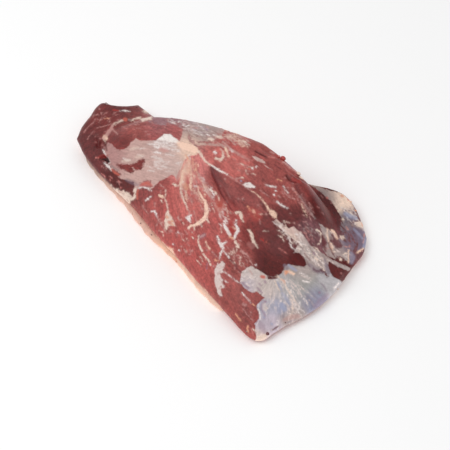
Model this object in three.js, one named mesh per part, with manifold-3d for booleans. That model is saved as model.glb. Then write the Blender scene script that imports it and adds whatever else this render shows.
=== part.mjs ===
// A raw beef outside flat: the long flat muscle from the outside of the round, lying on its fat cap.
// Millimetres, +Z up. +X runs from the narrow end to the wide end, +Y from the thin edge, where the
// fat cap shows, to the thick edge. The origin is on the table, under the middle of the cut.
import * as THREE from "three";
import { mergeVertices } from "three/addons/utils/BufferGeometryUtils.js";
import Module from "manifold-3d";

const { clamp, degToRad, lerp, smoothstep } = THREE.MathUtils;

// ---- The outline, seen from above at the widest height: four edges that meet in four corners ----

const CORNER = {
  narrowNear: [-189, -54],
  wideNear: [204, -115],
  wideFar: [188, 92],
  narrowFar: [-178, 45],
};
const EDGE = {
  near: [CORNER.narrowNear, [-155, -67], [-98, -76], [-50, -81], [0, -91], [45, -97], [95, -106], [141, -112],
    [184, -117], CORNER.wideNear],
  wide: [CORNER.wideNear, [204, -95], [207, -74], [213, -50], [216, -23], [215, 3], [211, 23], [206, 45],
    [200, 73], CORNER.wideFar],
  far: [CORNER.narrowFar, [-145, 44], [-95, 53], [-45, 69], [5, 83], [50, 93], [82, 103], [104, 115],
    [124, 121], [144, 118], [166, 107], CORNER.wideFar],
  narrow: [CORNER.narrowNear, [-198, -38], [-206, -16], [-213, 1], [-213, 11], [-202, 16], [-187, 29],
    CORNER.narrowFar],
};

// ---- Heights ----

// The thickness along the cut, read with a gauge near the thin edge, in the middle and near the thick edge.
const STATION = [-215, -150, -100, -50, 0, 50, 90, 130, 170, 214];
const GAUGE = {
  near: [34, 40, 46, 51, 53, 53, 51, 46, 35, 15],
  middle: [48, 54, 64, 72, 76, 75, 70, 60, 42, 14],
  far: [44, 53, 65, 76, 82, 83, 77, 63, 38, 14],
};
const GAUGE_AT = { near: 0.2, middle: 0.52, far: 0.8 }; // shares of the way across
const WIDEST = { narrow: 17, wide: 9 }; // the height at which the side stands out furthest
const WIDEST_CHANGE = [0.72, 0.98]; // shares of the length over which it changes
const ROLL = { near: 30, far: 34, narrow: 14, wide: 40 }; // how far in from each edge the top starts to fall
const UNDER_ROLL = 13; // how far the side draws in below its widest height

// The round head lies on a thinner muscle, the flap, which shows past it at the narrow end.
const FLAP = { height: 27, slope: 0.03, from: -190 };
const HEAD_SEAM = [[-112, 62], [-128, 44], [-141, 30], [-149, 15], [-157, -1], [-161, -17], [-157, -34],
  [-147, -49], [-133, -58], [-114, -63], [-95, -66], [-72, -69], [-50, -78], [-40, -100]];
const HEAD_SHOULDER = 40;

// A thin fatty flange runs round the far corner of the wide end, and blends into the end itself.
const FLANGE = { height: 15, rise: 14, from: 80, to: 10 };
const FLANGE_SEAM = [[235, -30], [212, 0], [197, 33], [181, 57], [162, 76], [136, 89], [106, 96], [75, 100],
  [50, 105], [30, 120]];
const FLANGE_SHOULDER = 42;
const SOFT_FOOT = 0.05; // the share of a shoulder's reach over which it starts to rise
const FLANGE_BLEND = { ends: [0.12, 0.5], below: -0.35, above: 1.15 };

// Creases and ridges follow a line, width being the reach on its left and on its right. Depth is
// positive for a crease, and fades out over `ends`, a share of the line, at both of its ends.
const CREASES = [
  { name: "trough beside the long seam", line: [[-4, 3], [20, -2], [44, -9], [70, -14], [98, -16]],
    width: [18, 9], depth: 7, ends: 0.35 },
  { name: "ridge of the long seam", line: [[-40, 9], [-17, 5], [15, 2], [49, 6], [87, 7], [122, 0]],
    width: [6, 6], depth: -3, ends: 0.15 },
  { name: "fan of fibres below the trough", line: [[-20, -9], [10, -15], [36, -27], [62, -36], [88, -43]],
    width: [10, 12], depth: -2.5, ends: 0.35 },
  { name: "hollow behind the head", line: [[-118, 20], [-90, 14], [-60, 16], [-35, 24]],
    width: [14, 14], depth: 4, ends: 0.35 },
  { name: "seam in front of the leaf muscle", line: [[66, 50], [92, 42], [120, 36], [150, 38], [174, 50]],
    width: [13, 12], depth: 3.5, ends: 0.35 },
  { name: "leaf muscle", line: [[84, 62], [112, 58], [140, 56], [166, 58]],
    width: [17, 15], depth: -4.5, ends: 0.35 },
  { name: "slit at the thick edge", line: [[26, 58], [50, 63], [76, 70]],
    width: [6, 4], depth: 4, ends: 0.35 },
  { name: "slit over the leaf muscle", line: [[70, 60], [90, 64], [112, 69]],
    width: [6, 4], depth: 5, ends: 0.35 },
  { name: "cleft under the head", line: [[-166, -36], [-157, -44], [-146, -53]],
    width: [4, 4], depth: 6, ends: 0.4 },
  { name: "fold of the near muscle", line: [[60, -62], [90, -69], [117, -72], [140, -80]],
    width: [9, 7], depth: 3.5, ends: 0.35 },
];
// Swells are long mounds, or basins where the height is negative, turned about Z by `turn` degrees.
const SWELLS = [
  { name: "round head", at: [-84, -20], turn: -5, reach: [42, 26], height: 5 },
  { name: "basin of dark lean", at: [120, -28], turn: -8, reach: [38, 22], height: -6 },
  { name: "long near muscle", at: [40, -66], turn: -8, reach: [90, 24], height: 4 },
  { name: "membrane over the wide end", at: [176, -62], turn: -60, reach: [44, 22], height: 4 },
];
const UNEVEN = { height: 0.5, lengths: [97, 61, 43] }; // the flesh is soft and never quite even

// ---- The fat cap ----

const FAT = {
  thickness: 12, // the lean starts this high
  inset: 16, // how far it stays inside the outline where it doesn't show
  showsFrom: [0.02, 0.08], // shares of the near edge over which it comes out, and goes in again
  showsTo: [0.79, 0.85],
  // how far it stands out past the lean, at shares of the near edge; it draws back where this is negative
  reachAt: [0, 0.12, 0.22, 0.3, 0.36, 0.43, 0.5, 0.58, 0.7, 0.78, 0.86],
  reach: [-2, -1.2, 0, 1.5, 4.5, 4.5, 2, 1, 2, 1.5, -2],
  room: 8, // how far out the lean is cut level over it, so that no thin skirt of lean hangs past it
  lump: { height: 0.9, lengths: [37, 23, 14] },
  // the side's profile, from the underside up: height, and how far in from the widest line
  profile: [[0, 5], [1.2, 1.8], [4.5, 0], [8.5, 0.4], [10.8, 1.6], [11.85, 4]],
};
const SEAM_GAP = 0.3; // between the lean and the fat cap, so that they stay two solids

const GRID = { along: 82, across: 38 };
const FAT_RING = { along: 64, across: 20 };
const UNDER_STEPS = 4;

// ---- Curves ----

// The slopes that carry a smooth curve through values at uneven places.
function slopes(at, values) {
  const last = at.length - 1;
  return values.map((_, i) => {
    const a = Math.max(i - 1, 0);
    const b = Math.min(i + 1, last);
    if (i === 0 || i === last) return (values[b] - values[a]) / (at[b] - at[a]);
    const before = at[i] - at[a];
    const after = at[b] - at[i];
    const rise = (values[b] - values[i]) / after;
    const climb = (values[i] - values[a]) / before;
    return (before * rise + after * climb) / (before + after);
  });
}

// A smooth curve through values given at rising places.
function smoothCurve(at, values) {
  const slope = slopes(at, values);
  return (place) => {
    const t = clamp(place, at[0], at[at.length - 1]);
    let k = 0;
    while (k < at.length - 2 && t >= at[k + 1]) k += 1;
    const span = at[k + 1] - at[k];
    const s = (t - at[k]) / span;
    const s2 = s * s;
    const s3 = s2 * s;
    return (2 * s3 - 3 * s2 + 1) * values[k] + (s3 - 2 * s2 + s) * span * slope[k]
      + (3 * s2 - 2 * s3) * values[k + 1] + (s3 - s2) * span * slope[k + 1];
  };
}

// A sum of waves that never repeats over the cut, from -1 to 1.
function waves(lengths, x, y) {
  let sum = 0;
  lengths.forEach((length, i) => {
    const turn = 0.9 + 2.1 * i;
    const across = x * Math.cos(turn) + y * Math.sin(turn);
    const along = y * Math.cos(turn) - x * Math.sin(turn);
    sum += Math.sin((2 * Math.PI * across) / length + 1.7 * Math.sin((2 * Math.PI * along) / (1.6 * length)));
  });
  return sum / lengths.length;
}

// An edge of the outline as a function of the share along it, with its ends left in the corners.
function edgeCurve(points) {
  const at = [0];
  for (let i = 1; i < points.length; i += 1) {
    const step = Math.hypot(points[i][0] - points[i - 1][0], points[i][1] - points[i - 1][1]);
    at.push(at[i - 1] + Math.sqrt(step));
  }
  const share = at.map((a) => a / at[at.length - 1]);
  const x = smoothCurve(share, points.map((p) => p[0]));
  const y = smoothCurve(share, points.map((p) => p[1]));
  return (t) => new THREE.Vector2(x(t), y(t));
}

const edge = Object.fromEntries(Object.entries(EDGE).map(([name, points]) => [name, edgeCurve(points)]));

// A place on the plan from two shares: u from the narrow end to the wide one, v from near to far.
function plan(u, v) {
  const mixed = edge.near(u).multiplyScalar(1 - v).add(edge.far(u).multiplyScalar(v))
    .add(edge.narrow(v).multiplyScalar(1 - u)).add(edge.wide(v).multiplyScalar(u));
  const corners = new THREE.Vector2(...CORNER.narrowNear).multiplyScalar((1 - u) * (1 - v))
    .add(new THREE.Vector2(...CORNER.wideNear).multiplyScalar(u * (1 - v)))
    .add(new THREE.Vector2(...CORNER.narrowFar).multiplyScalar((1 - u) * v))
    .add(new THREE.Vector2(...CORNER.wideFar).multiplyScalar(u * v));
  return mixed.sub(corners);
}

// The same place with every edge drawn in by `inset`.
function planInset(u, v, inset) {
  const length = plan(1, v).distanceTo(plan(0, v));
  const width = plan(u, 1).distanceTo(plan(u, 0));
  return plan(inset / length + u * (1 - (2 * inset) / length), inset / width + v * (1 - (2 * inset) / width));
}

// ---- The top surface ----

// The distance from a line, positive on the left of its direction, and the share along the line.
function lineDistance(x, y, line) {
  const lengths = [0];
  for (let i = 1; i < line.length; i += 1) {
    lengths.push(lengths[i - 1] + Math.hypot(line[i][0] - line[i - 1][0], line[i][1] - line[i - 1][1]));
  }
  let best = { distance: Infinity, side: 1, along: 0 };
  for (let i = 0; i < line.length - 1; i += 1) {
    const [ax, ay] = line[i];
    const dx = line[i + 1][0] - ax;
    const dy = line[i + 1][1] - ay;
    const t = clamp(((x - ax) * dx + (y - ay) * dy) / (dx * dx + dy * dy), 0, 1);
    const gapX = x - ax - t * dx;
    const gapY = y - ay - t * dy;
    const distance = Math.hypot(gapX, gapY);
    if (distance < best.distance) {
      const along = (lengths[i] + t * (lengths[i + 1] - lengths[i])) / lengths[lengths.length - 1];
      best = { distance, side: dx * gapY - dy * gapX < 0 ? -1 : 1, along };
    }
  }
  return best;
}

// A quarter circle from 0 at the edge to 1 at `reach` from it.
function rounded(distance, reach) {
  const t = clamp(1 - distance / reach, 0, 1);
  return Math.sqrt(1 - t * t);
}

// The round shoulder of a muscle, from 0 at its foot, where it starts softly, to 1 at `reach` from it.
function shoulder(distance, reach) {
  const share = clamp(distance / reach, 0, 1);
  const soft = (Math.hypot(share, SOFT_FOOT) - SOFT_FOOT) / (Math.hypot(1, SOFT_FOOT) - SOFT_FOOT);
  return Math.sin(0.5 * Math.PI * soft);
}

const gauge = Object.fromEntries(
  Object.entries(GAUGE).map(([name, heights]) => [name, smoothCurve(STATION, heights)]),
);

// The smooth bulk of the cut: a parabola across it through the three gauge readings.
function bulk(x, v) {
  const { near: a, middle: b, far: c } = GAUGE_AT;
  return (gauge.near(x) * (v - b) * (v - c)) / ((a - b) * (a - c))
    + (gauge.middle(x) * (v - a) * (v - c)) / ((b - a) * (b - c))
    + (gauge.far(x) * (v - a) * (v - b)) / ((c - a) * (c - b));
}

function creaseDepth(crease, x, y) {
  const { distance, side, along } = lineDistance(x, y, crease.line);
  const fade = smoothstep(along, 0, crease.ends) * smoothstep(1 - along, 0, crease.ends);
  const reach = crease.width[side > 0 ? 0 : 1];
  return crease.depth * Math.exp(-((distance / reach) ** 2)) * fade;
}

function swellHeight(swell, x, y) {
  const turn = degToRad(swell.turn);
  const dx = x - swell.at[0];
  const dy = y - swell.at[1];
  const along = (dx * Math.cos(turn) + dy * Math.sin(turn)) / swell.reach[0];
  const across = (dy * Math.cos(turn) - dx * Math.sin(turn)) / swell.reach[1];
  return swell.height * Math.exp(-(along * along + across * across));
}

// How much of the bulk stands over the flange: a round shoulder at the far side, a slope at the end.
function flangeClimb(x, y) {
  const { distance, side, along } = lineDistance(x, y, FLANGE_SEAM);
  const { ends, below, above } = FLANGE_BLEND;
  const slope = smoothstep(distance * side, below * FLANGE_SHOULDER, above * FLANGE_SHOULDER);
  return lerp(slope, shoulder(distance * side, FLANGE_SHOULDER), smoothstep(along, ...ends));
}

// The height of the top before it rolls over at the edges.
function topHeight(x, y, v) {
  const flap = FLAP.height + FLAP.slope * (x - FLAP.from);
  const head = lineDistance(x, y, HEAD_SEAM);
  let z = lerp(flap, bulk(x, v), shoulder(head.distance * head.side, HEAD_SHOULDER));
  const flange = FLANGE.height + FLANGE.rise * (1 - smoothstep(y, FLANGE.to, FLANGE.from));
  z = lerp(flange, z, flangeClimb(x, y));
  for (const crease of CREASES) z -= creaseDepth(crease, x, y);
  for (const swell of SWELLS) z += swellHeight(swell, x, y);
  return z + UNEVEN.height * waves(UNEVEN.lengths, x, y);
}

const widestHeight = (u) => lerp(WIDEST.narrow, WIDEST.wide, smoothstep(u, ...WIDEST_CHANGE));

// The top surface at two shares, rolled over to the widest height at all four edges.
function topPoint(u, v) {
  const p = plan(u, v);
  const width = plan(u, 1).distanceTo(plan(u, 0));
  const length = plan(1, v).distanceTo(plan(0, v));
  const rise = rounded(v * width, ROLL.near) * rounded((1 - v) * width, ROLL.far)
    * rounded(u * length, ROLL.narrow) * rounded((1 - u) * length, ROLL.wide);
  return new THREE.Vector3(p.x, p.y, lerp(widestHeight(u), topHeight(p.x, p.y, v), rise));
}

// ---- Meshes ----

// Shares from 0 to 1 that crowd towards both ends, where the surface turns most.
const crowded = (i, count) => 0.45 * (i / count) + 0.275 * (1 - Math.cos((Math.PI * i) / count));

// The shares [u, v] once round the outline, anticlockwise from above, starting in the narrow near corner.
function outlineShares(along, across) {
  const shares = [];
  for (let i = 0; i < along; i += 1) shares.push([crowded(i, along), 0]);
  for (let j = 0; j < across; j += 1) shares.push([1, crowded(j, across)]);
  for (let i = along; i > 0; i -= 1) shares.push([crowded(i, along), 1]);
  for (let j = across; j > 0; j -= 1) shares.push([0, crowded(j, across)]);
  return shares;
}

function geometryOf(points, faces) {
  const geometry = new THREE.BufferGeometry();
  const positions = points.flatMap((p) => [p.x, p.y, p.z]);
  geometry.setAttribute("position", new THREE.Float32BufferAttribute(positions, 3));
  geometry.setIndex(faces.flat());
  return geometry;
}

// Faces between two rings of the same size, the first one being above or outside the second.
function bandFaces(upper, lower, count) {
  const faces = [];
  for (let i = 0; i < count; i += 1) {
    const next = (i + 1) % count;
    faces.push([upper + i, lower + i, lower + next], [upper + i, lower + next, upper + next]);
  }
  return faces;
}

// A flat face over a ring, seen from above or from below.
function capFaces(points, first, count, facesUp) {
  const contour = points.slice(first, first + count).map((p) => new THREE.Vector2(p.x, p.y));
  return THREE.ShapeUtils.triangulateShape(contour, [])
    .map(([a, b, c]) => (facesUp ? [first + a, first + b, first + c] : [first + a, first + c, first + b]));
}

// The whole cut as one closed mesh: the top as a grid, the sides drawn in below, and a flat underside.
function bodyGeometry() {
  const { along, across } = GRID;
  const points = [];
  const faces = [];
  for (let i = 0; i <= along; i += 1) {
    for (let j = 0; j <= across; j += 1) points.push(topPoint(crowded(i, along), crowded(j, across)));
  }
  const at = (i, j) => i * (across + 1) + j;
  for (let i = 0; i < along; i += 1) {
    for (let j = 0; j < across; j += 1) {
      faces.push([at(i, j), at(i + 1, j), at(i + 1, j + 1)], [at(i, j), at(i + 1, j + 1), at(i, j + 1)]);
    }
  }
  const shares = outlineShares(along, across);
  const count = shares.length;
  for (let step = 0; step <= UNDER_STEPS; step += 1) {
    const turn = (0.5 * Math.PI * step) / UNDER_STEPS;
    for (const [u, v] of shares) {
      const p = planInset(u, v, UNDER_ROLL * (1 - Math.cos(turn)));
      points.push(new THREE.Vector3(p.x, p.y, widestHeight(u) * (1 - Math.sin(turn))));
    }
    if (step > 0) faces.push(...bandFaces(points.length - 2 * count, points.length - count, count));
  }
  faces.push(...capFaces(points, points.length - count, count, false));
  return geometryOf(points, faces);
}

const fatReach = smoothCurve(FAT.reachAt, FAT.reach);

// The fat cap's widest line, once round, drawn in by `inset`. It shows along the near edge, where `room`
// moves it further out, and hides elsewhere.
function fatOutline(inset, room = 0) {
  return outlineShares(FAT_RING.along, FAT_RING.across).map(([u, v]) => {
    const shows = v > 0 ? 0 : smoothstep(u, ...FAT.showsFrom) * (1 - smoothstep(u, ...FAT.showsTo));
    const hidden = planInset(u, v, FAT.inset + inset);
    const out = plan(u, 0);
    const way = plan(Math.min(u + 0.01, 1), 0).sub(plan(Math.max(u - 0.01, 0), 0)).normalize();
    const lump = FAT.lump.height * waves(FAT.lump.lengths, out.x, out.y);
    out.add(new THREE.Vector2(way.y, -way.x).multiplyScalar(fatReach(u) + lump + room - inset));
    return hidden.lerp(out, shows);
  });
}

function fatGeometry() {
  const points = [];
  const faces = [];
  FAT.profile.forEach(([height, inset], step) => {
    const ring = fatOutline(inset);
    points.push(...ring.map((p) => new THREE.Vector3(p.x, p.y, height)));
    const count = ring.length;
    if (step > 0) faces.push(...bandFaces(points.length - count, points.length - 2 * count, count));
    if (step === 0) faces.push(...capFaces(points, 0, count, false));
    if (step === FAT.profile.length - 1) faces.push(...capFaces(points, points.length - count, count, true));
  });
  return geometryOf(points, faces);
}

// The room that the fat cap takes out of the body, a gap larger all round.
function fatRoomGeometry() {
  const below = 20;
  const depth = FAT.thickness + SEAM_GAP / 2 + below;
  const shape = new THREE.Shape(fatOutline(-SEAM_GAP, FAT.room));
  return new THREE.ExtrudeGeometry(shape, { depth, bevelEnabled: false }).translate(0, 0, -below);
}

// ---- Solids ----

const wasm = await Module();
wasm.setup();

function solidOf(geometry) {
  for (const name of ["normal", "uv"]) geometry.deleteAttribute(name);
  const merged = mergeVertices(geometry, 1e-3);
  return new wasm.Manifold(new wasm.Mesh({
    numProp: 3,
    vertProperties: merged.attributes.position.array,
    triVerts: new Uint32Array(merged.index.array),
  }));
}

function geometryFrom(solid) {
  const { vertProperties, triVerts } = solid.getMesh();
  const geometry = new THREE.BufferGeometry();
  geometry.setAttribute("position", new THREE.BufferAttribute(new Float32Array(vertProperties), 3));
  geometry.setIndex(new THREE.BufferAttribute(new Uint32Array(triVerts), 1));
  geometry.computeVertexNormals();
  return geometry;
}

function leanMesh() {
  const solid = solidOf(bodyGeometry()).subtract(solidOf(fatRoomGeometry()));
  const material = new THREE.MeshStandardMaterial({ color: 0x9c4a45, roughness: 0.42, metalness: 0 });
  const mesh = new THREE.Mesh(geometryFrom(solid), material);
  mesh.name = "lean";
  return mesh;
}

function fatCapMesh() {
  const material = new THREE.MeshStandardMaterial({ color: 0xe6c3ae, roughness: 0.5, metalness: 0 });
  const mesh = new THREE.Mesh(fatGeometry(), material);
  mesh.name = "fat_cap";
  return mesh;
}

const outsideFlat = new THREE.Group();
outsideFlat.add(leanMesh(), fatCapMesh());

// The origin goes under the middle of the cut's box.
const box = new THREE.Box3().setFromObject(outsideFlat);
outsideFlat.position.set(-(box.min.x + box.max.x) / 2, -(box.min.y + box.max.y) / 2, -box.min.z);

export default outsideFlat;
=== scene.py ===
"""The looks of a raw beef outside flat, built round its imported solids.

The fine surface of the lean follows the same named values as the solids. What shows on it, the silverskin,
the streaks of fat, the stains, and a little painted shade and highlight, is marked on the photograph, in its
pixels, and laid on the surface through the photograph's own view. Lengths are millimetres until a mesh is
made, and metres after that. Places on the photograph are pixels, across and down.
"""

import math

import bpy
import numpy as np
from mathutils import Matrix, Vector
from mathutils.bvhtree import BVHTree


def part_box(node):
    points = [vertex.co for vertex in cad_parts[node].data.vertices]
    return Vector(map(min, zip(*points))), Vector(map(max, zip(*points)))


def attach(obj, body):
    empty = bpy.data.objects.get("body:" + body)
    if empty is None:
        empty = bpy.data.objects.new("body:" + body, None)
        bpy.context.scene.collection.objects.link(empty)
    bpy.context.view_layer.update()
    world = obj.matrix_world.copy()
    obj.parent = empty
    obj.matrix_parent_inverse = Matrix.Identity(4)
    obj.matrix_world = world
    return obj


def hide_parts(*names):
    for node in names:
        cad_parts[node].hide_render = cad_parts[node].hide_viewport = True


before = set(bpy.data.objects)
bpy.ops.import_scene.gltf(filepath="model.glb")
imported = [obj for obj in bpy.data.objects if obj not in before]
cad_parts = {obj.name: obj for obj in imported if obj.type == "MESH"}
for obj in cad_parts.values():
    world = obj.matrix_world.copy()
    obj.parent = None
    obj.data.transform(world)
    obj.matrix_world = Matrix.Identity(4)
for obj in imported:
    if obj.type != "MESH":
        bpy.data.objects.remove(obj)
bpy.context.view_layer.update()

bl_info = {
    "name": "Raw Beef Outside Flat",
    "version": (1, 0, 0),
    "blender": (4, 5, 0),
    "location": "3D Viewport > Sidebar > Outside Flat",
    "description": "Builds the lean, the fat cap, the loose shreds and the stage of a raw beef outside flat",
    "category": "Add Mesh",
}

MM = 0.001
BODY = "root"

# ---- The outline and the heights, in millimetres, as in the solids ----

CORNER = {"narrow_near": (-189, -54), "wide_near": (204, -115),
          "wide_far": (188, 92), "narrow_far": (-178, 45)}
EDGE = {
    "near": [CORNER["narrow_near"], (-155, -67), (-98, -76), (-50, -81), (0, -91), (45, -97), (95, -106),
             (141, -112), (184, -117), CORNER["wide_near"]],
    "wide": [CORNER["wide_near"], (204, -95), (207, -74), (213, -50), (216, -23), (215, 3), (211, 23),
             (206, 45), (200, 73), CORNER["wide_far"]],
    "far": [CORNER["narrow_far"], (-145, 44), (-95, 53), (-45, 69), (5, 83), (50, 93), (82, 103), (104, 115),
            (124, 121), (144, 118), (166, 107), CORNER["wide_far"]],
    "narrow": [CORNER["narrow_near"], (-198, -38), (-206, -16), (-213, 1), (-213, 11), (-202, 16), (-187, 29),
               CORNER["narrow_far"]],
}
STATION = [-215, -150, -100, -50, 0, 50, 90, 130, 170, 214]
GAUGE = {
    "near": [34, 40, 46, 51, 53, 53, 51, 46, 35, 15],
    "middle": [48, 54, 64, 72, 76, 75, 70, 60, 42, 14],
    "far": [44, 53, 65, 76, 82, 83, 77, 63, 38, 14],
}
GAUGE_AT = {"near": 0.2, "middle": 0.52, "far": 0.8}
WIDEST = {"narrow": 17, "wide": 9}
WIDEST_CHANGE = (0.72, 0.98)
ROLL = {"near": 30, "far": 34, "narrow": 14, "wide": 40}
UNDER_ROLL = 13
TIP_ROUNDING = 16
FLAP = {"height": 27, "slope": 0.03, "from": -190}
HEAD_SEAM = [(-112, 62), (-128, 44), (-141, 30), (-149, 15), (-157, -1), (-161, -17), (-157, -34),
             (-147, -49), (-133, -58), (-114, -63), (-95, -66), (-72, -69), (-50, -78), (-40, -100)]
HEAD_SHOULDER = 40
FLANGE = {"height": 15, "rise": 14, "from": 80, "to": 10}
FLANGE_SEAM = [(235, -30), (212, 0), (197, 33), (181, 57), (162, 76), (136, 89), (106, 96), (75, 100),
               (50, 105), (30, 120)]
SOFT_FOOT = 0.05
FLANGE_SHOULDER = 42
FLANGE_BLEND = {"ends": (0.12, 0.5), "below": -0.35, "above": 1.15}
# Each crease: its name, its line, its reach on the left and on the right, its depth, the fade at its ends.
CREASES = [
    ("trough beside the long seam", [(-4, 3), (20, -2), (44, -9), (70, -14), (98, -16)], (18, 9), 7, 0.35),
    ("ridge of the long seam", [(-40, 9), (-17, 5), (15, 2), (49, 6), (87, 7), (122, 0)], (6, 6), -3, 0.15),
    ("fan of fibres below the trough", [(-20, -9), (10, -15), (36, -27), (62, -36), (88, -43)],
     (10, 12), -2.5, 0.35),
    ("hollow behind the head", [(-118, 20), (-90, 14), (-60, 16), (-35, 24)], (14, 14), 4, 0.35),
    ("seam in front of the leaf muscle", [(66, 50), (92, 42), (120, 36), (150, 38), (174, 50)],
     (13, 12), 3.5, 0.35),
    ("leaf muscle", [(84, 62), (112, 58), (140, 56), (166, 58)], (17, 15), -4.5, 0.35),
    ("slit at the thick edge", [(26, 58), (50, 63), (76, 70)], (6, 4), 4, 0.35),
    ("slit over the leaf muscle", [(70, 60), (90, 64), (112, 69)], (6, 4), 5, 0.35),
    ("cleft under the head", [(-166, -36), (-157, -44), (-146, -53)], (4, 4), 6, 0.4),
    ("fold of the near muscle", [(60, -62), (90, -69), (117, -72), (140, -80)], (9, 7), 3.5, 0.35),
]
# Each swell: its name, its middle, its turn in degrees, its reach along and across, its height.
SWELLS = [
    ("round head", (-84, -20), -5, (42, 26), 5),
    ("basin of dark lean", (120, -28), -8, (38, 22), -6),
    ("long near muscle", (40, -66), -8, (90, 24), 4),
    ("membrane over the wide end", (176, -62), -60, (44, 22), 4),
]
UNEVEN = {"height": 0.5, "lengths": (97, 61, 43)}
FAT = {
    "thickness": 12,
    "inset": 16,
    "shows_from": (0.02, 0.08),
    "shows_to": (0.79, 0.85),
    "reach_at": (0, 0.12, 0.22, 0.3, 0.36, 0.43, 0.5, 0.58, 0.7, 0.78, 0.86),
    "reach": (-2, -1.2, 0, 1.5, 4.5, 4.5, 2, 1, 2, 1.5, -2),
    "profile": [(0, 5), (0.5, 3.2), (1.2, 1.8), (2.6, 0.6), (4.5, 0), (6.5, 0.05), (8.5, 0.4), (9.8, 0.9),
                (10.8, 1.6), (11.5, 2.6), (11.85, 4)],
}

# The lean's underside: how far in the foot that it stands on goes, where the room for the fat cap starts,
# and how far the lean stays above the cap.
FOOT_IN = 2.4
ROOM_IN = 2.6
CAP_CLEARANCE = 0.1

# The fine meshes: faces along and across the top, bands down the side, and how they crowd towards the edges.
LEAN_GRID = (392, 196)
LEAN_CROWDING = (0.1, 0.15)
SIDE_BANDS = 9
# Faces along the near side, the far side and each end of the fat cap.
FAT_RING = (420, 110, 55)
CAP_UNEVEN = {"height": 0.9, "lengths": (37, 23, 14)}

# ---- The photograph's view ----

PHOTO = {"side": 450, "focal": 1300, "azimuth": 45, "elevation": 50, "distance": 1.6}
PHOTO_TARGET = (0.0585, -0.0294, 0.0276)
# How wide a pixel of the photograph is at the cut, in metres.
PIXEL = PHOTO["distance"] / PHOTO["focal"]
SENSOR = 36
LAMP_PLACE = np.array((-0.5, -0.9, 1.7))
# What the sky, the floor and the lamp add to the light on a place, the least and most light that counts,
# what the moist gloss adds to a tone, and the darkest that a tone may be.
LIGHT = {"sky": 0.78, "floor": 0.6, "lamp": 0.36, "range": (0.62, 1.2), "gloss": 0.022, "darkest": 0.003}
# How far a place has to face the eye to show, and how far from the surface a line of sight starts, in metres.
FACING = {"from": -0.15, "to": -0.02, "tested": 0.05}
CLEAR = {"outward": 0.0012, "to_eye": 0.0004}
OFF_PHOTO = -100

# ---- Tones, as they look in even light ----

TONE = {
    "bright": "f3eae4", "white": "e8dcd8", "cream": "e3cbbc", "peach": "ebc6b0", "orange": "dc9c80",
    "tendon": "f6d0bb", "coral": "c8685a", "red": "a8403c", "rose": "bf8d87", "pink": "c87a74",
    "grey": "97827f", "mauve": "98798a", "blue": "9fa1b8", "dusk": "84747f", "dark": "68373a",
    "black red": "401216", "maroon": "5c2127", "bright lean": "c4645d", "silver": "d9c6c0",
    "haze": "b07a76", "glow": "c4514a",
    "black lean": "5c2a2a", "deep lean": "6c3a3a", "brown lean": "803e3c", "dusky lean": "8c4a48",
    "mid lean": "9c5450", "warm lean": "b05a56", "fresh lean": "c06a64", "tender lean": "cc7c78",
    "purple lean": "785054", "plum lean": "92666a", "grey lean": "a88882", "maroon lean": "60302f",
    "rose skin": "b48884", "line skin": "c09a92", "pale skin": "c8a49c", "bright skin": "ceb0a8",
    "white skin": "ebdfdb", "cream skin": "f0ccb6", "plum skin": "987278", "stone skin": "aa9692",
    # flange skin: the flange's cream, made paler with painted light that makes up for the shade of the
    # shoulder.
    "flange skin": "fce0cc", "dusky skin": "8c8082", "slate skin": "7e6e7e", "dust skin": "d6b8ae",
    "ash skin": "b0a09c", "milk skin": "ccbcb6", "lilac skin": "c0b2bc", "mist skin": "b6b0b2",
    "blue skin": "aeaab8", "moss skin": "a6a29e", "steel skin": "9694a8", "tip skin": "e6cec4",
    "shaded fat": "a88c80", "tan fat": "cca898", "rosy fat": "dab0a0", "peach fat": "e2b298",
    "pale fat": "eac2ae",
    "far lean": "8c4b49", "far pale lean": "a9625c", "far low lean": "b98880", "far skin": "b99f9b",
    "far pale skin": "cbb4ab",
}
SPOT_SOFTNESS = 1.05

# ---- What the photograph shows ----

def marks_in(text):
    """The rows of a list of marks: semicolons part their fields, and a deeper line goes on with its row.

    A field is words, numbers, or pairs of numbers as x,y. A number or a pair that stands alone is no list.
    """
    def part_of(word):
        return tuple(map(float, word.split(","))) if "," in word else float(word)

    def value(field):
        if field[0].isalpha():
            return field
        parts = [part_of(word) for word in field.split()]
        return parts if len(parts) > 1 else parts[0]

    rows = text.replace("\n  ", " ").strip().splitlines()
    return [[value(field.strip()) for field in row.split(";")] for row in rows]
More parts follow.
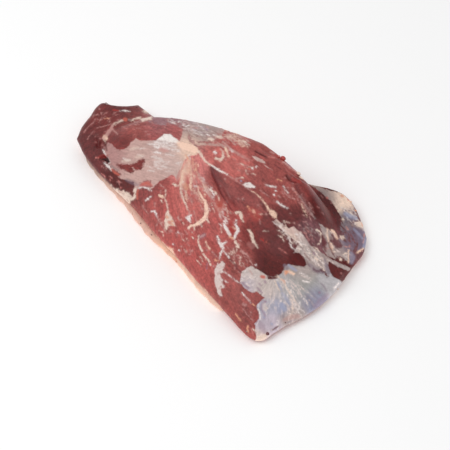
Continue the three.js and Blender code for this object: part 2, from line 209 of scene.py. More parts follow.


# Each soft spot of tone: its name, its tone, its middle and its reach.
# The wedge's dusky tones are partly painted shade: that slope faces away from the light.
LEAN_SPOTS = marks_in("""
flap, top; deep lean; 122,108; 11
flap, left; deep lean; 88,127; 9
flap, middle; brown lean; 101,121; 8
flap, foot; deep lean; 86,146; 9
side band, left; deep lean; 94,163; 9
side band, middle; maroon lean; 110,180; 8
side band, end; maroon lean; 127,187; 7
head, upper; mid lean; 135,128; 9
head, right; warm lean; 166,131; 10
head, dark patch; brown lean; 119,142; 7
island on the silverskin; brown lean; 129,167; 7
round muscle; dusky lean; 144,196; 8
lobe below the silverskin; warm lean; 158,207; 8
near muscle, left; mid lean; 148,222; 9
near muscle, by the rim; warm lean; 166,241; 11
near muscle, upper; warm lean; 178,238; 11
near muscle, middle; warm lean; 200,264; 14
near muscle, low; mid lean; 224,303; 10
near muscle, foot; mid lean; 240,322; 8
dark block; dusky lean; 250,313; 6
block by the thin line; mid lean; 250,297; 6
fan of fibres; fresh lean; 194,204; 9
fan under the tendon; tender lean; 196,165; 8
wedge, top; dusky lean; 216,174; 5
wedge, middle; mid lean; 226,192; 6
wedge, by the seam; dusky lean; 240,195; 7
muscle below the wedge; warm lean; 222,214; 8
muscle in the middle; warm lean; 213,238; 9
muscle below the middle; mid lean; 235,262; 9
basin, left; brown lean; 260,236; 7
basin, middle; deep lean; 276,243; 9
basin, foot; maroon lean; 270,266; 8
basin, deepest; black lean; 300,260; 5
upper lobe; fresh lean; 233,166; 9
upper lobe, right; mid lean; 264,180; 10
crest; mid lean; 262,149; 7
ridge, left; plum lean; 162,122; 9
ridge, right; grey lean; 200,131; 9
lean by the tendon; fresh lean; 212,151; 7
leaf muscle, left; brown lean; 304,186; 6
leaf muscle, middle; black lean; 320,207; 6
leaf muscle, right; maroon lean; 334,222; 6
lean before the leaf; mid lean; 288,196; 7
lobe before the leaf; deep lean; 288,214; 7
muscle at the wide end; purple lean; 309,234; 7
flange; purple lean; 352,233; 9
maroon block; maroon lean; 338,272; 6
crest, right; mid lean; 285,170; 6
head, by the seam; dusky lean; 112,131; 5
crest, left; warm lean; 232,139; 8
""")
SKIN_SPOTS = marks_in("""
oval, left; rose skin; 112,152; 8
oval, middle; pale skin; 142,151; 10
oval, right; bright skin; 167,156; 9
oval, foot; pale skin; 150,176; 9
oval, blotch; line skin; 164,149; 4
tendon, left; white skin; 165,137; 6
tendon, right; cream skin; 190,147; 7
ridge; plum skin; 165,123; 10
ridge, right; stone skin; 200,131; 9
flange, cream; flange skin; 341,199; 7
flange, grey; dusky skin; 330,199; 5
pale patch on the lobe; bright skin; 259,160; 4
line over the lobe; line skin; 214,144; 5
veil at the crest; line skin; 240,139; 6
flange, grey, low; dusky skin; 345,223; 5
flange, blue; slate skin; 350,217; 4
flange, foot; slate skin; 359,232; 9
band over the membrane; dust skin; 290,233; 7
band, middle; ash skin; 309,250; 8
band, right; stone skin; 326,252; 7
band, foot; ash skin; 342,265; 5
membrane lobe; milk skin; 250,273; 6
membrane lobe, blue; lilac skin; 248,284; 5
membrane neck; milk skin; 262,286; 6
membrane, cream; milk skin; 272,291; 5
membrane, middle; mist skin; 286,293; 8
membrane, blue; blue skin; 277,304; 5
membrane, grey; moss skin; 300,288; 8
membrane, slate; steel skin; 312,299; 6
membrane, right; mist skin; 331,282; 6
membrane, foot; ash skin; 292,314; 6
membrane, left foot; lilac skin; 266,324; 6
tip; tip skin; 259,339; 5
membrane, top; ash skin; 300,271; 6
membrane, darkest blue; steel skin; 283,307; 4
membrane, left edge; blue skin; 260,309; 5
""")
FAT_CAP_SPOTS = marks_in("""
rim, narrow end; shaded fat; 92,171; 8
rim, after the flap; tan fat; 107,187; 9
rim, under the lobe; rosy fat; 124,205; 9
rim, middle; rosy fat; 148,232; 12
rim, peach; peach fat; 164,248; 10
rim, right; pale fat; 186,271; 12
rim, wide end; pale fat; 208,299; 12
""")

# Areas of silverskin and membrane: their name, how far they veil the lean, their outline.
SKIN_AREAS = marks_in("""
silverskin on the head; 1; 108,142 112.3,143.8 116.4,148.4 120,149.9 124.6,148.4 129.2,145.3 130.7,141.8
  133.8,140.2 135.8,137.7 139.4,140.2 147,140.2 156.2,139.7 162.3,136 165,134 171,134 173,136.5 177.6,139
  181,142 186,142.5 193.4,144.5 198,148 200,152 196.5,155.5 191,156 187.5,158.5 184.7,160.5 182.7,166
  180.5,172 176,180.2 175,177.7 171.9,175.1 165.3,179.2 160.2,181.2 157.7,183.3 153,188.4 149.5,190
  146,187 141,187 137,190 135.5,194 132.5,192 134,187 133,182 126,180.5 119,178.5 113.5,172 109,166
  107,158 104.8,152 103.5,147
cream foot of the tendon; 1; 182.7,130 187.5,129.9 188.6,134 188,138 190,141.5 194,145 186,144 179,141.5
  181,137
veil along the ridge; 0.72; 150.2,113.8 160,114.5 172,115.5 186,117.5 199,120.3 210,123.5 218,126 226,129
  224,133.5 222,137.5 214,140.5 207,142.5 198,141.5 191,140 188.7,134 187,130 182.7,129.3 178.6,127.8
  173,125.8 166.8,125.8 162.8,126.8 158.7,125.3 150,124.2 146,121 152,118.5
grey line over the lobe; 0.7; 194.4,140 198.5,143 206,141.5 213.8,143.2 221.4,142.1 228.6,147.8 227,152
  221,147 213.8,147 206,145.6 198.5,146.7 194,144
veil at the crest; 0.55; 226,129.5 236,133 246,137.5 254,141 250,146 242,147.5 232,146 224,142
pale patch on the lobe; 0.9; 251.8,155.7 255.9,155.9 261,158.5 265,161.3 266.6,164.4 261,163 256.5,161.4
  253.8,159.2
tail of the pale patch; 0.5; 261,163 266,164 273.8,170 273,172.5 266,168.5
grey of the flange; 0.9; 306,180 312,182 318,185 326,189.5 333,193 338,200 342,208 346,214 350,221 353,230
  347,233 342,222 338,213 332,203 325,196 316,189 308,185
flange, cream; 1; 324,188.2 331.3,190.5 337.9,191.5 343.6,194.2 347.8,198 350.7,200.6 352.6,204.6
  355.6,210.2 357,213.4 352.7,213.6 347.3,211.6 342.4,209 338,207 337.6,204.6 333.4,198.4 328,192.9
flange, blue; 1; 342.4,210.2 349.1,211.9 355,213.4 358,217 359.6,220.9 353.6,222.3 349,221 345.4,217.8
flange, edge of the wide end; 1; 353.6,222 360,220.8 364.2,222.4 366,229 368,236 368,241 364.5,248.5
  360,251.5 356.5,252 358,244 356,236 352,229
flange, foot; 0.62; 344,212 350,221 356,226 358,236 358,246 352,252 346,245 342,236 339,226
grey band along the crest; 0.85; 299,173.8 306,178.4 313,182 320,186 326,189.5 331,194 336,200 339,206
  340,211 336,208 331,201.5 325,196.5 318,191.5 311,185.5 304,180.5 298,176.5
band over the membrane; 0.93; 276,218 280,222 284,226.5 288,228 293.8,226 297,229.4 302,232.6 306,238.4
  310.6,245.6 316,249 321,251.6 326,255.4 331.5,259 338,262 346,265 351.5,267.5 349,271.8 344.5,270
  338,267.4 333,263.8 329.4,262 328,266 330.5,272 334,277 342,280.6 340,284 334,284 326,280 318,276
  309,272 303,267 305.6,264.6 304.6,260 302.6,256.4 299.8,253.8 297,253 292.5,253.8 295.5,248.5
  298.4,243.6 296.3,241.8 292.8,238.8 289.2,236.2 285.1,233.7 282,230.6 279,227.6 276.4,225 274,221
haze over the wide end's muscle; 0.3; 296,226 303,225 311,226.5 318,230 322,237 320.5,243 314,246 308,242
  303,234
grey band by the leaf; 0.85; 318,222 324,226 330,231 333,237 336,243 342,249 350,252 350,260 345,262
  336,260 327,256.4 322.4,249 324,243 322,234
cream crumble at the wide end; 0.95; 338.5,237.5 343,240 349,244 351,249 349.5,255 348.5,262.5 345,259
  341,251 337.5,245
membrane; 1; 241.1,271.3 245.7,269.3 248.3,266.7 251.8,265.2 254.9,267.8 259,269.8 263.1,272.3 267.7,275.6
  272.8,276.3 277.3,275.9 281,273.4 283.2,270.2 284.4,266.2 288.5,263.8 293.5,265 298,265.6 302.5,266.2
  308,268.5 314,271.5 318,273.6 322,273 326,276 330,279 336,279 343.5,281 345,285 340,291 333,296 328,301
  321,307 306,320 291,326 281,329 274,335 268,341 262,347 254,346 256,336 254.4,331 255,326.8 254,323.6
  256.9,321 258.8,318 259.2,315 258.3,311.6 256.8,308.6 256,306 257.6,303.8 260.5,300.7 264,297.7
  261,295.8 256.9,292 253.4,293.2 249.8,292 245.7,289.6 241.6,286 239.6,282 240.1,278
""")
AREA_OUTLINE = {name: outline for name, _, outline in SKIN_AREAS}
# Islands of bare lean inside those areas.
SKIN_GAPS = marks_in("""
island on the silverskin; 115.9,164.2 122.5,164.2 131.2,164.2 136.8,162.7 138.3,160.7 141.4,158.6
  145,159.6 144.5,162.7 142.9,163.7 143.4,166.8 140.4,169.8 135.8,170.3 132.7,167.8 133.8,171.4
  131.7,172.9 128.7,172.4 124.6,170.3 120.5,168.8 118.4,166.8
red strip under the silverskin; 109.8,167.6 113.3,169.6 117.9,172.2 120.7,174.4 119.5,176.2 117.2,176.6
  114.6,174.8 111.4,171.5
red spots at the foot of the silverskin; 139.6,184.4 143.6,181.6 147.6,180.4 151.4,180.8 151,184
  152.8,186.6 149,187.8 144,186.8 140.6,187.2
maroon block; 329.5,262.8 333,264.6 337.5,268 340.5,269 344.5,270.6 350,272.6 352,274 347,279 343.5,282
  340,278.4 336,277.6 333.2,276 330.8,273 329.6,268
purple band on the membrane; 313.4,267.4 316,270 319.4,269.4 322.6,269.2 325.6,271.6 328.6,276.2 326.6,277
  323.6,273.6 320,272 316.4,272.8 312.8,270
dark strip over the membrane lobe; 267.7,275.4 272.5,276.2 277.3,275.8 276.6,278.6 272,279.2 268,278.6
gap by the muscle of the wide end; 320.5,232.5 324.5,237.5 327.4,243 325.6,247 322.5,244.8 320.8,240
gap in the crumble; 329,240 335,239.4 341,242.6 342.6,247 337,248.8 333,245
second gap in the crumble; 337.6,255.6 341.6,257 345.6,260.6 351.6,265.4 350.4,268 344,264.6 338.6,262.4
  336,258.6
""")
# Patches of solid fat: their name, their tone, their outline.
FAT_PATCHES = marks_in("""
pale corner of the flap seam; cream; 140.4,119 143.4,118.4 152,116.4 152,120 147,120.5 141.9,122
fat edge below the dark band; cream; 88.5,161.6 92,167 95.5,171 100,176 103.5,179.5 105.4,180 107.5,183
  110,185 111.4,184.4 113,187.5 116,189 117,187.7 119.5,189.5 121.6,190.9 124,189.7 126,192 127.6,191.4
  129.5,193 131.5,196 133.4,196.6 134.2,193 133.2,189.6 136.6,187 137.2,190.6 136,194.4 136.6,197.8
  133.6,200 130.6,201.4 129.8,205 124,210 108,200 92,184 82,166
fat edge below the near muscle; peach; 130,201 129.6,204 130.5,208 132.5,212 135.5,215.5 139,218
  142.5,219.8 146.5,224 150.5,229 155.5,234.5 160.5,240 166,245 170,248 173,248.5 173.5,252 176,257
  180.5,262.5 186,269 191,275.5 196,281 201,285.8 205,289 209,294 214,300 218.5,305 221.5,308.5 214,314
  186,286 150,246 120,210
cream patch on the flap; cream; 142.4,111.1 147,109.8 150,113.3 147.5,113.9 144.4,112.8
white of the tendon; bright; 157,139.8 161,136.6 164.3,134.2 170.6,134.2 173,137 177.6,140.1 179.6,142.8
  173,143 166,141.4
cream of the tendon; tendon; 176,141 180.6,141.8 187,143.2 193.4,145.2 198,148.7 199,152.4 195,153.6
  189,151.4 183,149.2 178,146
triangle of fat; cream; 168,209 169.6,213 172.3,217 174,222 176.3,226.6 174,226 170,226 168.2,227.6
  166.6,231.2 165,228 164,223 165,218 165.6,213.6
white blob by the hooked streak; white; 185.2,217.4 188.8,214.9 192.3,214.4 190.8,216.9 190.8,223.1
  188.8,221.5 185.7,219
patch on the long seam; white; 242.6,184.4 246.1,182.6 250.2,182.6 253.3,185.5 255.6,186.5 255,188
  248.7,188 245.6,187.6
end of the long seam; peach; 268.8,209.2 272.3,210 274.9,211.2 277.4,214.3 276.9,217.3 275.9,218.9
  272.9,217.3 270.3,214.8 269.3,212.8
branching patch, left of the membrane; silver; 217.6,263 219.4,264.4 222.2,260.4 224.9,263.7 224.2,267.6
  222.9,270 224.8,272.3 220.4,273.4 221,276 223.3,280.5 222.2,283 225.4,287.6 222,288.3 221,286 220.6,290
  222,295.4 220,297 217.3,292 215.8,286 214.6,280.5 214.8,275 214.6,269 216.2,266.4
cream rim of the flange; cream; 359.8,221.3 363.2,222.2 364.3,226 362.8,229.3 358,227.3 353.6,224.2
  355,222
crumb by the leaf's point; cream; 340,235.4 344,236.2 345,239 342,240 339.4,238
peach blob at the wide end; peach; 329.4,242.2 332,243.2 333.6,246.6 333,249.6 330.4,248.4 329.2,245
pale blob at the wide end; cream; 338.6,257.4 341.6,258.4 342.2,260.8 339.6,260.4
cream corner of the tip; cream; 257.5,336.6 263,334 266.4,333.6 267,337 263,341 260,346 254.5,345.5
  255,341
orange corner of the membrane; orange; 283.6,271 286.4,270 288.6,271.4 287.6,274 285,275.4 283.4,273.6
""")
# Streaks of fat and seam tissue, and one painted highlight on the membrane laid as a white streak: their
# name, their tone, their widths along them, their line.
STREAKS = marks_in("""
seam round the head, down; rose; 2 3.6 3.6 3; 113,124.6 111.3,128.7 109.2,131.2 107.2,134.3 103.6,138.3
knot on the head seam; peach; 4.4 4.4; 105,137 106,138
twig under the head seam; rose; 1.6 1.2; 112.8,129.2 115.4,132.2 117.9,133.8
seam round the head, up; cream; 2 2.2 1.8; 113.3,124.6 116.4,123 120,121.5 123.4,120.2
grey knot on the head seam; grey; 2 2; 128.6,119.8 130.6,120
seam to the corner of the flap; cream; 1.8 2 2; 131.7,120.5 135.8,118.7 140.4,117.9
seam under the knot; cream; 1.6 1.2; 104.1,139.9 105.4,142.4
pale edge of the oval; white; 1.2 1.6 2; 103.1,149.9 106.2,155.6 109.3,162.7
lip of the cleft; pink; 1.4 1.2; 96,157.8 100.6,158.4
white lip below the cleft; white; 1.6 2.4 1; 104.4,163 108.8,166.6 111.5,170.5
white streak on the flap; white; 0.4 1.5 0.8; 118.9,111.3 123,110.5 129.7,111.3
short line on the flap; orange; 0.5 0.5; 104.7,118.4 109.2,118.4
streak down the flap; haze; 0.7 1.1 0.8; 93.9,122.5 89.3,126.1 85.8,129.7 84.2,132.2
lower streak on the flap; haze; 0.6 0.8 0.6; 93.9,131.2 91.4,133.8 88.8,136.8 87.3,138.9
thin line on the flap; rose; 0.4 0.4; 100.1,127.1 104.7,126.1 108.7,125.1 111.3,123.6
ring round the low muscle; white; 1.2 2 1.4; 137.6,189 141.5,186.8 146,187.6 151,190.4
fleck by the low muscle; white; 1.8 1.6 1; 145.8,200.4 148,199 151.4,196.4
line left in the near muscle; rose; 0.8 1.1 0.7; 142,205 145,210 148.5,213.5
bracket in the near muscle; white; 1.4 2 1.8; 151.5,211.5 154.5,211 156,213.5 157,217
bracket, tail; rose; 1.8 1.6; 157,217 158.6,220.4 160.5,223
bracket, left twig; rose; 0.8 0.8; 160,222 157.5,223.5 156.4,225.6
bracket, right twig; rose; 1.6 1.4 0.8; 160.5,223 163,226.5 165,230 167,233
loop round the lobe; rose; 0.8 1.2; 160,184.8 163.5,187 166,191
loop, lower; cream; 1.4 1 1.2 1.8; 165.8,190.5 165.4,197 164.5,198.5 167,203 168,209
orange dab by the loop; peach; 3 3.4 2; 160,195.4 162,196.4 163.4,197.6
dash under the dab; cream; 1.4 1.2; 161,200.4 162.4,202.4
dash in the lobe; rose; 1.6 1.2; 154.7,202.7 155.1,206.4
second dash in the lobe; rose; 1 1; 161,190.4 160.6,193.6
white end of the fan; cream; 2 2.4 1.6; 173.6,184.2 175.6,185.2 177.6,185.8
root of the fan; peach; 2 3 3 2; 182.8,170 182.4,175 181.4,180 180.8,184
root of the fan, left; rose; 2 3 1; 180,171 178.6,176 177,180.5
root of the fan, right; rose; 2 2.4 1; 186,166 186.4,171 186,177
first streak of the fan; cream; 2.6 2.6 1.8 1.2; 180.6,183.8 181.1,190.4 181.8,195 184,200.4 186.5,205.4
  187.4,209.6
first streak, branch; rose; 2 1.6 1; 181.6,186.8 184.7,190.8 187.2,196 189.3,200.4
second streak of the fan; peach; 2 2.2 1.6; 190.8,172 191.8,179.2 190.8,185.3 190.3,189
dab in the fan; white; 2 2; 194,186.2 196.4,186.4
thin streak of the fan; rose; 1.8 1.4 1; 194.9,187.3 195.4,194 197.4,198.6 199,201.6
hooked streak; tendon; 1.6 2 3 4.8 4.4 3.4 2.4; 197.4,185.3 199,191.4 202,197.6 205.1,201.6 206.1,205.7
  206.6,210.8 206.1,215.9 204.1,219 201,221.5 195.3,225 191.2,225.7 188.2,228
hooked streak, spike; cream; 2 1; 207,219 209.2,223.1
hooked streak, second spike; cream; 2 1.2; 200.4,223 202.2,226.8
hooked streak, third spike; cream; 1.8 1; 194,226 194.4,229.8
third streak of the fan; rose; 2.4 2.4 2; 196.9,172 199,174.1 200.5,178.7
broad streak of the fan; rose; 2.4 4 4 3.4 1.6; 201.6,177 203.1,180.7 205.1,186.8 207.1,191.4 210.2,195
  212.2,198.6 213.8,200.6
lump on the broad streak; cream; 3 3; 210.6,189.6 211.8,191.2
second lump on the broad streak; cream; 2.4 2.4; 214.7,192.4 215.9,193.6
ring round the red spot, left; rose; 2 2.4 2; 214.4,202.6 217.3,208.3 219.6,212.4
ring round the red spot, right; rose; 1.6 2; 223.5,202.6 223.8,206.7 221.4,209.6
tail of the red spot; rose; 1.8 1; 219.9,213.4 221.6,219.6
thin line by the hook; rose; 0.9 1.1 0.8; 193.9,210.8 194.9,216.9 196.4,221.5
dash by the triangle; rose; 1.3 1; 178.2,216.6 180,220.6
long seam; cream; 3 2.4 2 1.6; 199,151.6 204.3,160 207.3,163.1 211.4,165.6
long seam, white; bright; 1.6 2 1.2; 211.4,165.6 219.6,170.7 227.8,174.8
long seam, thin; rose; 0.7 0.8 1 0.8 0.8; 227.8,174.8 234.4,179.9 243.1,185 247.1,188.1 251.2,191.1
long seam, low; peach; 0.8 1 1.4 2 3; 251.2,191.1 255.8,193.7 259.9,197.2 264,202.3 269,210
line over the seam's patch; rose; 1.8 1.2; 235.9,178.6 240.8,177.9
line beside the long seam; rose; 0.8 0.8; 259.9,190.1 264,193 268.6,196.7
pale line in the wedge; haze; 1 1.4 1; 225.7,188.6 230.8,198.8
streak over the membrane's root; white; 1.6 2 1; 276.9,201.5 283.1,206.1 287.7,208.2
line down the middle, head; rose; 2 3 2; 200,237.4 202.4,236 205,234.2
line down the middle; cream; 1.6 1.6 2; 198.9,236 198.2,241 199.5,246 202,251
line down the middle, lower; cream; 1.4 2 1.4; 203,253.5 206.5,258 209.5,262 210.6,265
line down the middle, twig; mauve; 1 0.8; 207.5,263.5 206.5,268.5
peach line beside it; peach; 1.2 2 1.2; 206,241.6 207,245.6 210.1,249.4
thin line beside it; rose; 0.8 1; 212.1,251.8 216.4,256.4
forked streak; white; 2.2 2.6 3 2; 217.3,236.6 219.3,242.4 221,245.2 223,247.6 222.4,250
forked streak, foot; white; 1.8 1.6 1; 222.4,250 220.5,253.5 219.6,259
forked streak, arm; white; 2.6 2; 221.4,244.6 226.3,242
streak below the fork; white; 1.4 2 1.4; 223.8,251 226.6,254 229,258
white arm of the knot; white; 2.4 3.6 3; 223.4,223.7 225.4,227.3 228,231.3 230,235.4
peach of the knot; peach; 2.6 2.6; 232.8,227.6 234.2,229
far arm of the knot; white; 2 2.4 3 3 2.4; 236.1,220.6 235.6,225.2 237.7,228.3 238,231 235.6,233.6
  234.4,239
foot of the knot; orange; 2.2 2; 229.6,236.4 233.6,239
streak under the knot; cream; 2.4 2.6 1.6; 235.1,241.4 237.1,244.6 238.7,247.2
chain beside the basin; rose; 2.4 2.4 1.6 1.2; 241.2,250.7 243.3,252.8 246.3,254.3 248.4,257.4 251.4,262.5
  252.4,265
streak at the basin's edge; cream; 2.4 3.2 3 1.6; 248.4,230.3 250.9,232.4 251.9,237 253.5,241.6 256,245.1
  257.6,247.7
cream dab over the knot; cream; 2.6 3.6 2.6 1; 235.6,212.6 239.7,212.4 241.2,215.8 241.7,218.9 243.3,221.9
glowing dab; peach; 3.4 3.4; 253,210.6 254,211.8
line to the glowing dab; orange; 1.6 1.6; 247.9,206.6 250.4,210.2
line from the glowing dab; orange; 1.6 1.2; 254.5,214.4 256.5,217.9
short line over the basin; rose; 1.2 1; 259.6,219.4 260.6,224
red line in the basin; red; 1.4 1.2; 260.6,238.3 264.7,241.8
pink line in the basin; pink; 1.2 1; 279.5,248.5 286.1,253.1
orange dab over the white patch; orange; 1.8 1.4; 215.4,260.2 218.2,261
thin line from the white patch; white; 1.4 1 0.7; 222.6,270.6 227.3,273.9 231.4,276.9 235.5,280.5
  239.4,283
lower twig of the white patch; white; 1.6 0.8; 222.4,279.4 227.6,282.6
thin line in the lower block; white; 0.9 1.1 0.9; 242.1,292.8 246,297.4 250.8,302.6
orange end of the thin line; orange; 1 0.9; 252.6,304.2 256,306.4
faint line in the dark block; haze; 0.8 0.8; 243,309 246.5,313.4 250,318 253.5,321
pale patch in the dark block; haze; 3 3; 243.6,304.4 246,305.4
orange line by the lower edge; orange; 1.4 1.8 1; 235.6,314 238,317.4 241.4,321
orange streak at the tip; orange; 2.2 2 1.6; 248,326.4 247.4,329 248.4,331.4
pink line at the tip; pink; 1.2 1.2; 251.4,329.6 253.2,335
cream spike at the tip; cream; 0.8 1.6; 252.4,328.8 256.2,331.4
orange foot of the tip; orange; 2.4 2; 254.8,342 258.4,341
grey strand at the leaf's edge; grey; 1.6 2.4 1.8; 300,195.6 304.5,203.2 308,209 311.2,213.9 314.7,218.4
orange strand at the leaf's edge; peach; 1.2 1.6 1.2; 301.8,204.1 302.7,208.6 304.9,212.1 306.7,216.6
pale strand before the leaf; rose; 1.6 2 1.2; 292.6,187.8 294.7,190.9 297.2,194.5 299.8,197.4
first dash before the leaf; white; 1.4 1.6 1.2; 266.1,185.3 271.7,186.3 275.8,187.3
second dash before the leaf; white; 1.4 1.2; 283.4,186.3 284.4,187.8
third dash before the leaf; white; 1.8 1.2; 285.5,189.9 288,192.9
orange dashes over the leaf; orange; 1 1; 276.8,179.2 281.9,180.7
line down from the red knob; rose; 1.4 1.6 1.8; 282.9,161.8 286.5,164.9 290.6,168.4 295.7,171.5
  298.7,173.6
pink streak over the lobe; pink; 1.6 1.6 1; 240.1,153.7 246,157 251.8,160.3
band across the lobe; rose; 2.6 3 2.6 1.6; 222.8,141.9 226.8,145.5 231.4,150.1 237.6,153.7 242.7,156.7
  248.8,160.8
white middle of that band; white; 2.4 2.4; 230.6,150 232.4,151.6
hanging streak under the band; peach; 2.6 2.2; 225.5,148.4 227,152 228.8,156.4
cream hook under the tendon; cream; 2 3 2.6; 223,152 223.4,156.9 220.9,160 215.8,158.4
blue-white spot by the hook; white; 3 3; 214.6,152.2 215.8,153
cream on the crest; cream; 3 3.4; 209,139.2 212.6,140
cream on the crest, right; cream; 2.4 3; 216.8,136.8 221.8,137.6
line along the crest; rose; 1.2 1.4; 222.2,137.9 234.5,139.4
cream at the crest's edge; cream; 2.4 3.2 2; 238.6,141 242.1,141.4 246,142.6
bits at the crest's edge; rose; 1.4 1.6; 234.5,143.5 245.7,146
peach at the ridge's end; peach; 2 2; 226.8,130 228,130.6
white streak under the tendon; white; 1.8 1; 188.8,155.4 190.8,160.4
grey line on the flange; grey; 1.4 1.4; 348.2,222.9 355.8,226.9 362.5,230.4
brown line down the wide end; rose; 1 1.2; 364,234.6 363.4,243
orange foot of the flange; peach; 2 2.4; 363,248.6 357.6,252.4
dab on the flange; cream; 2.6 2; 342.6,219.2 343.2,220.4
second dab on the flange; rose; 2 1.6; 346.4,227.3 348.2,229.6
pale streak below the leaf; peach; 3.2 3 2.2; 332,230.9 334.8,234.4 337,238.6
curved line at the wide end; cream; 1.6 1.6 1.6 1; 316.6,229.6 320,232 321.6,236 321.6,239.4 320,242.6
  317.4,244.8
thin line by the curved one; cream; 1 1.4; 325.4,233.6 326.6,236 328.6,238.8
upright line at the edge; peach; 1.2 1.8 1.6; 348.6,250 348.2,256 348.6,262.4
cream line down the band; cream; 2 1.8 1.8 1.2; 316.3,258.4 317,262 319,265 321.5,267.5 325,270.4
cream ridge of the membrane; cream; 1.8 2.2 2.2 1.6; 276.5,275.9 280.2,278.6 283.5,283 286.3,287.5 289,292
  293,297.5 295.5,302
orange on that ridge; orange; 1.6 2.2 1.4; 281.2,279.2 283.2,281 285.2,283.6
peach at the membrane's root; peach; 2.6 2.6; 289,271.6 293.4,274
highlight on the membrane; white; 1.2 1.8 1.2; 302.6,280.8 305.4,281.8 309,281.8
white streak at the right edge; white; 1.8 1.4; 338.4,283 336,286 333.4,289.4
fold at the membrane's foot; cream; 1.4 2 1.4; 291.5,299 292.6,306 292,312 290,318
left ridge of the membrane; cream; 1 1.6 1; 274.6,281 277,286 279.4,291
white edge of the membrane; white; 1 1.4 1.4 1; 258.6,304.4 258.4,309 260.4,315 259.8,320 257,324.6
""")
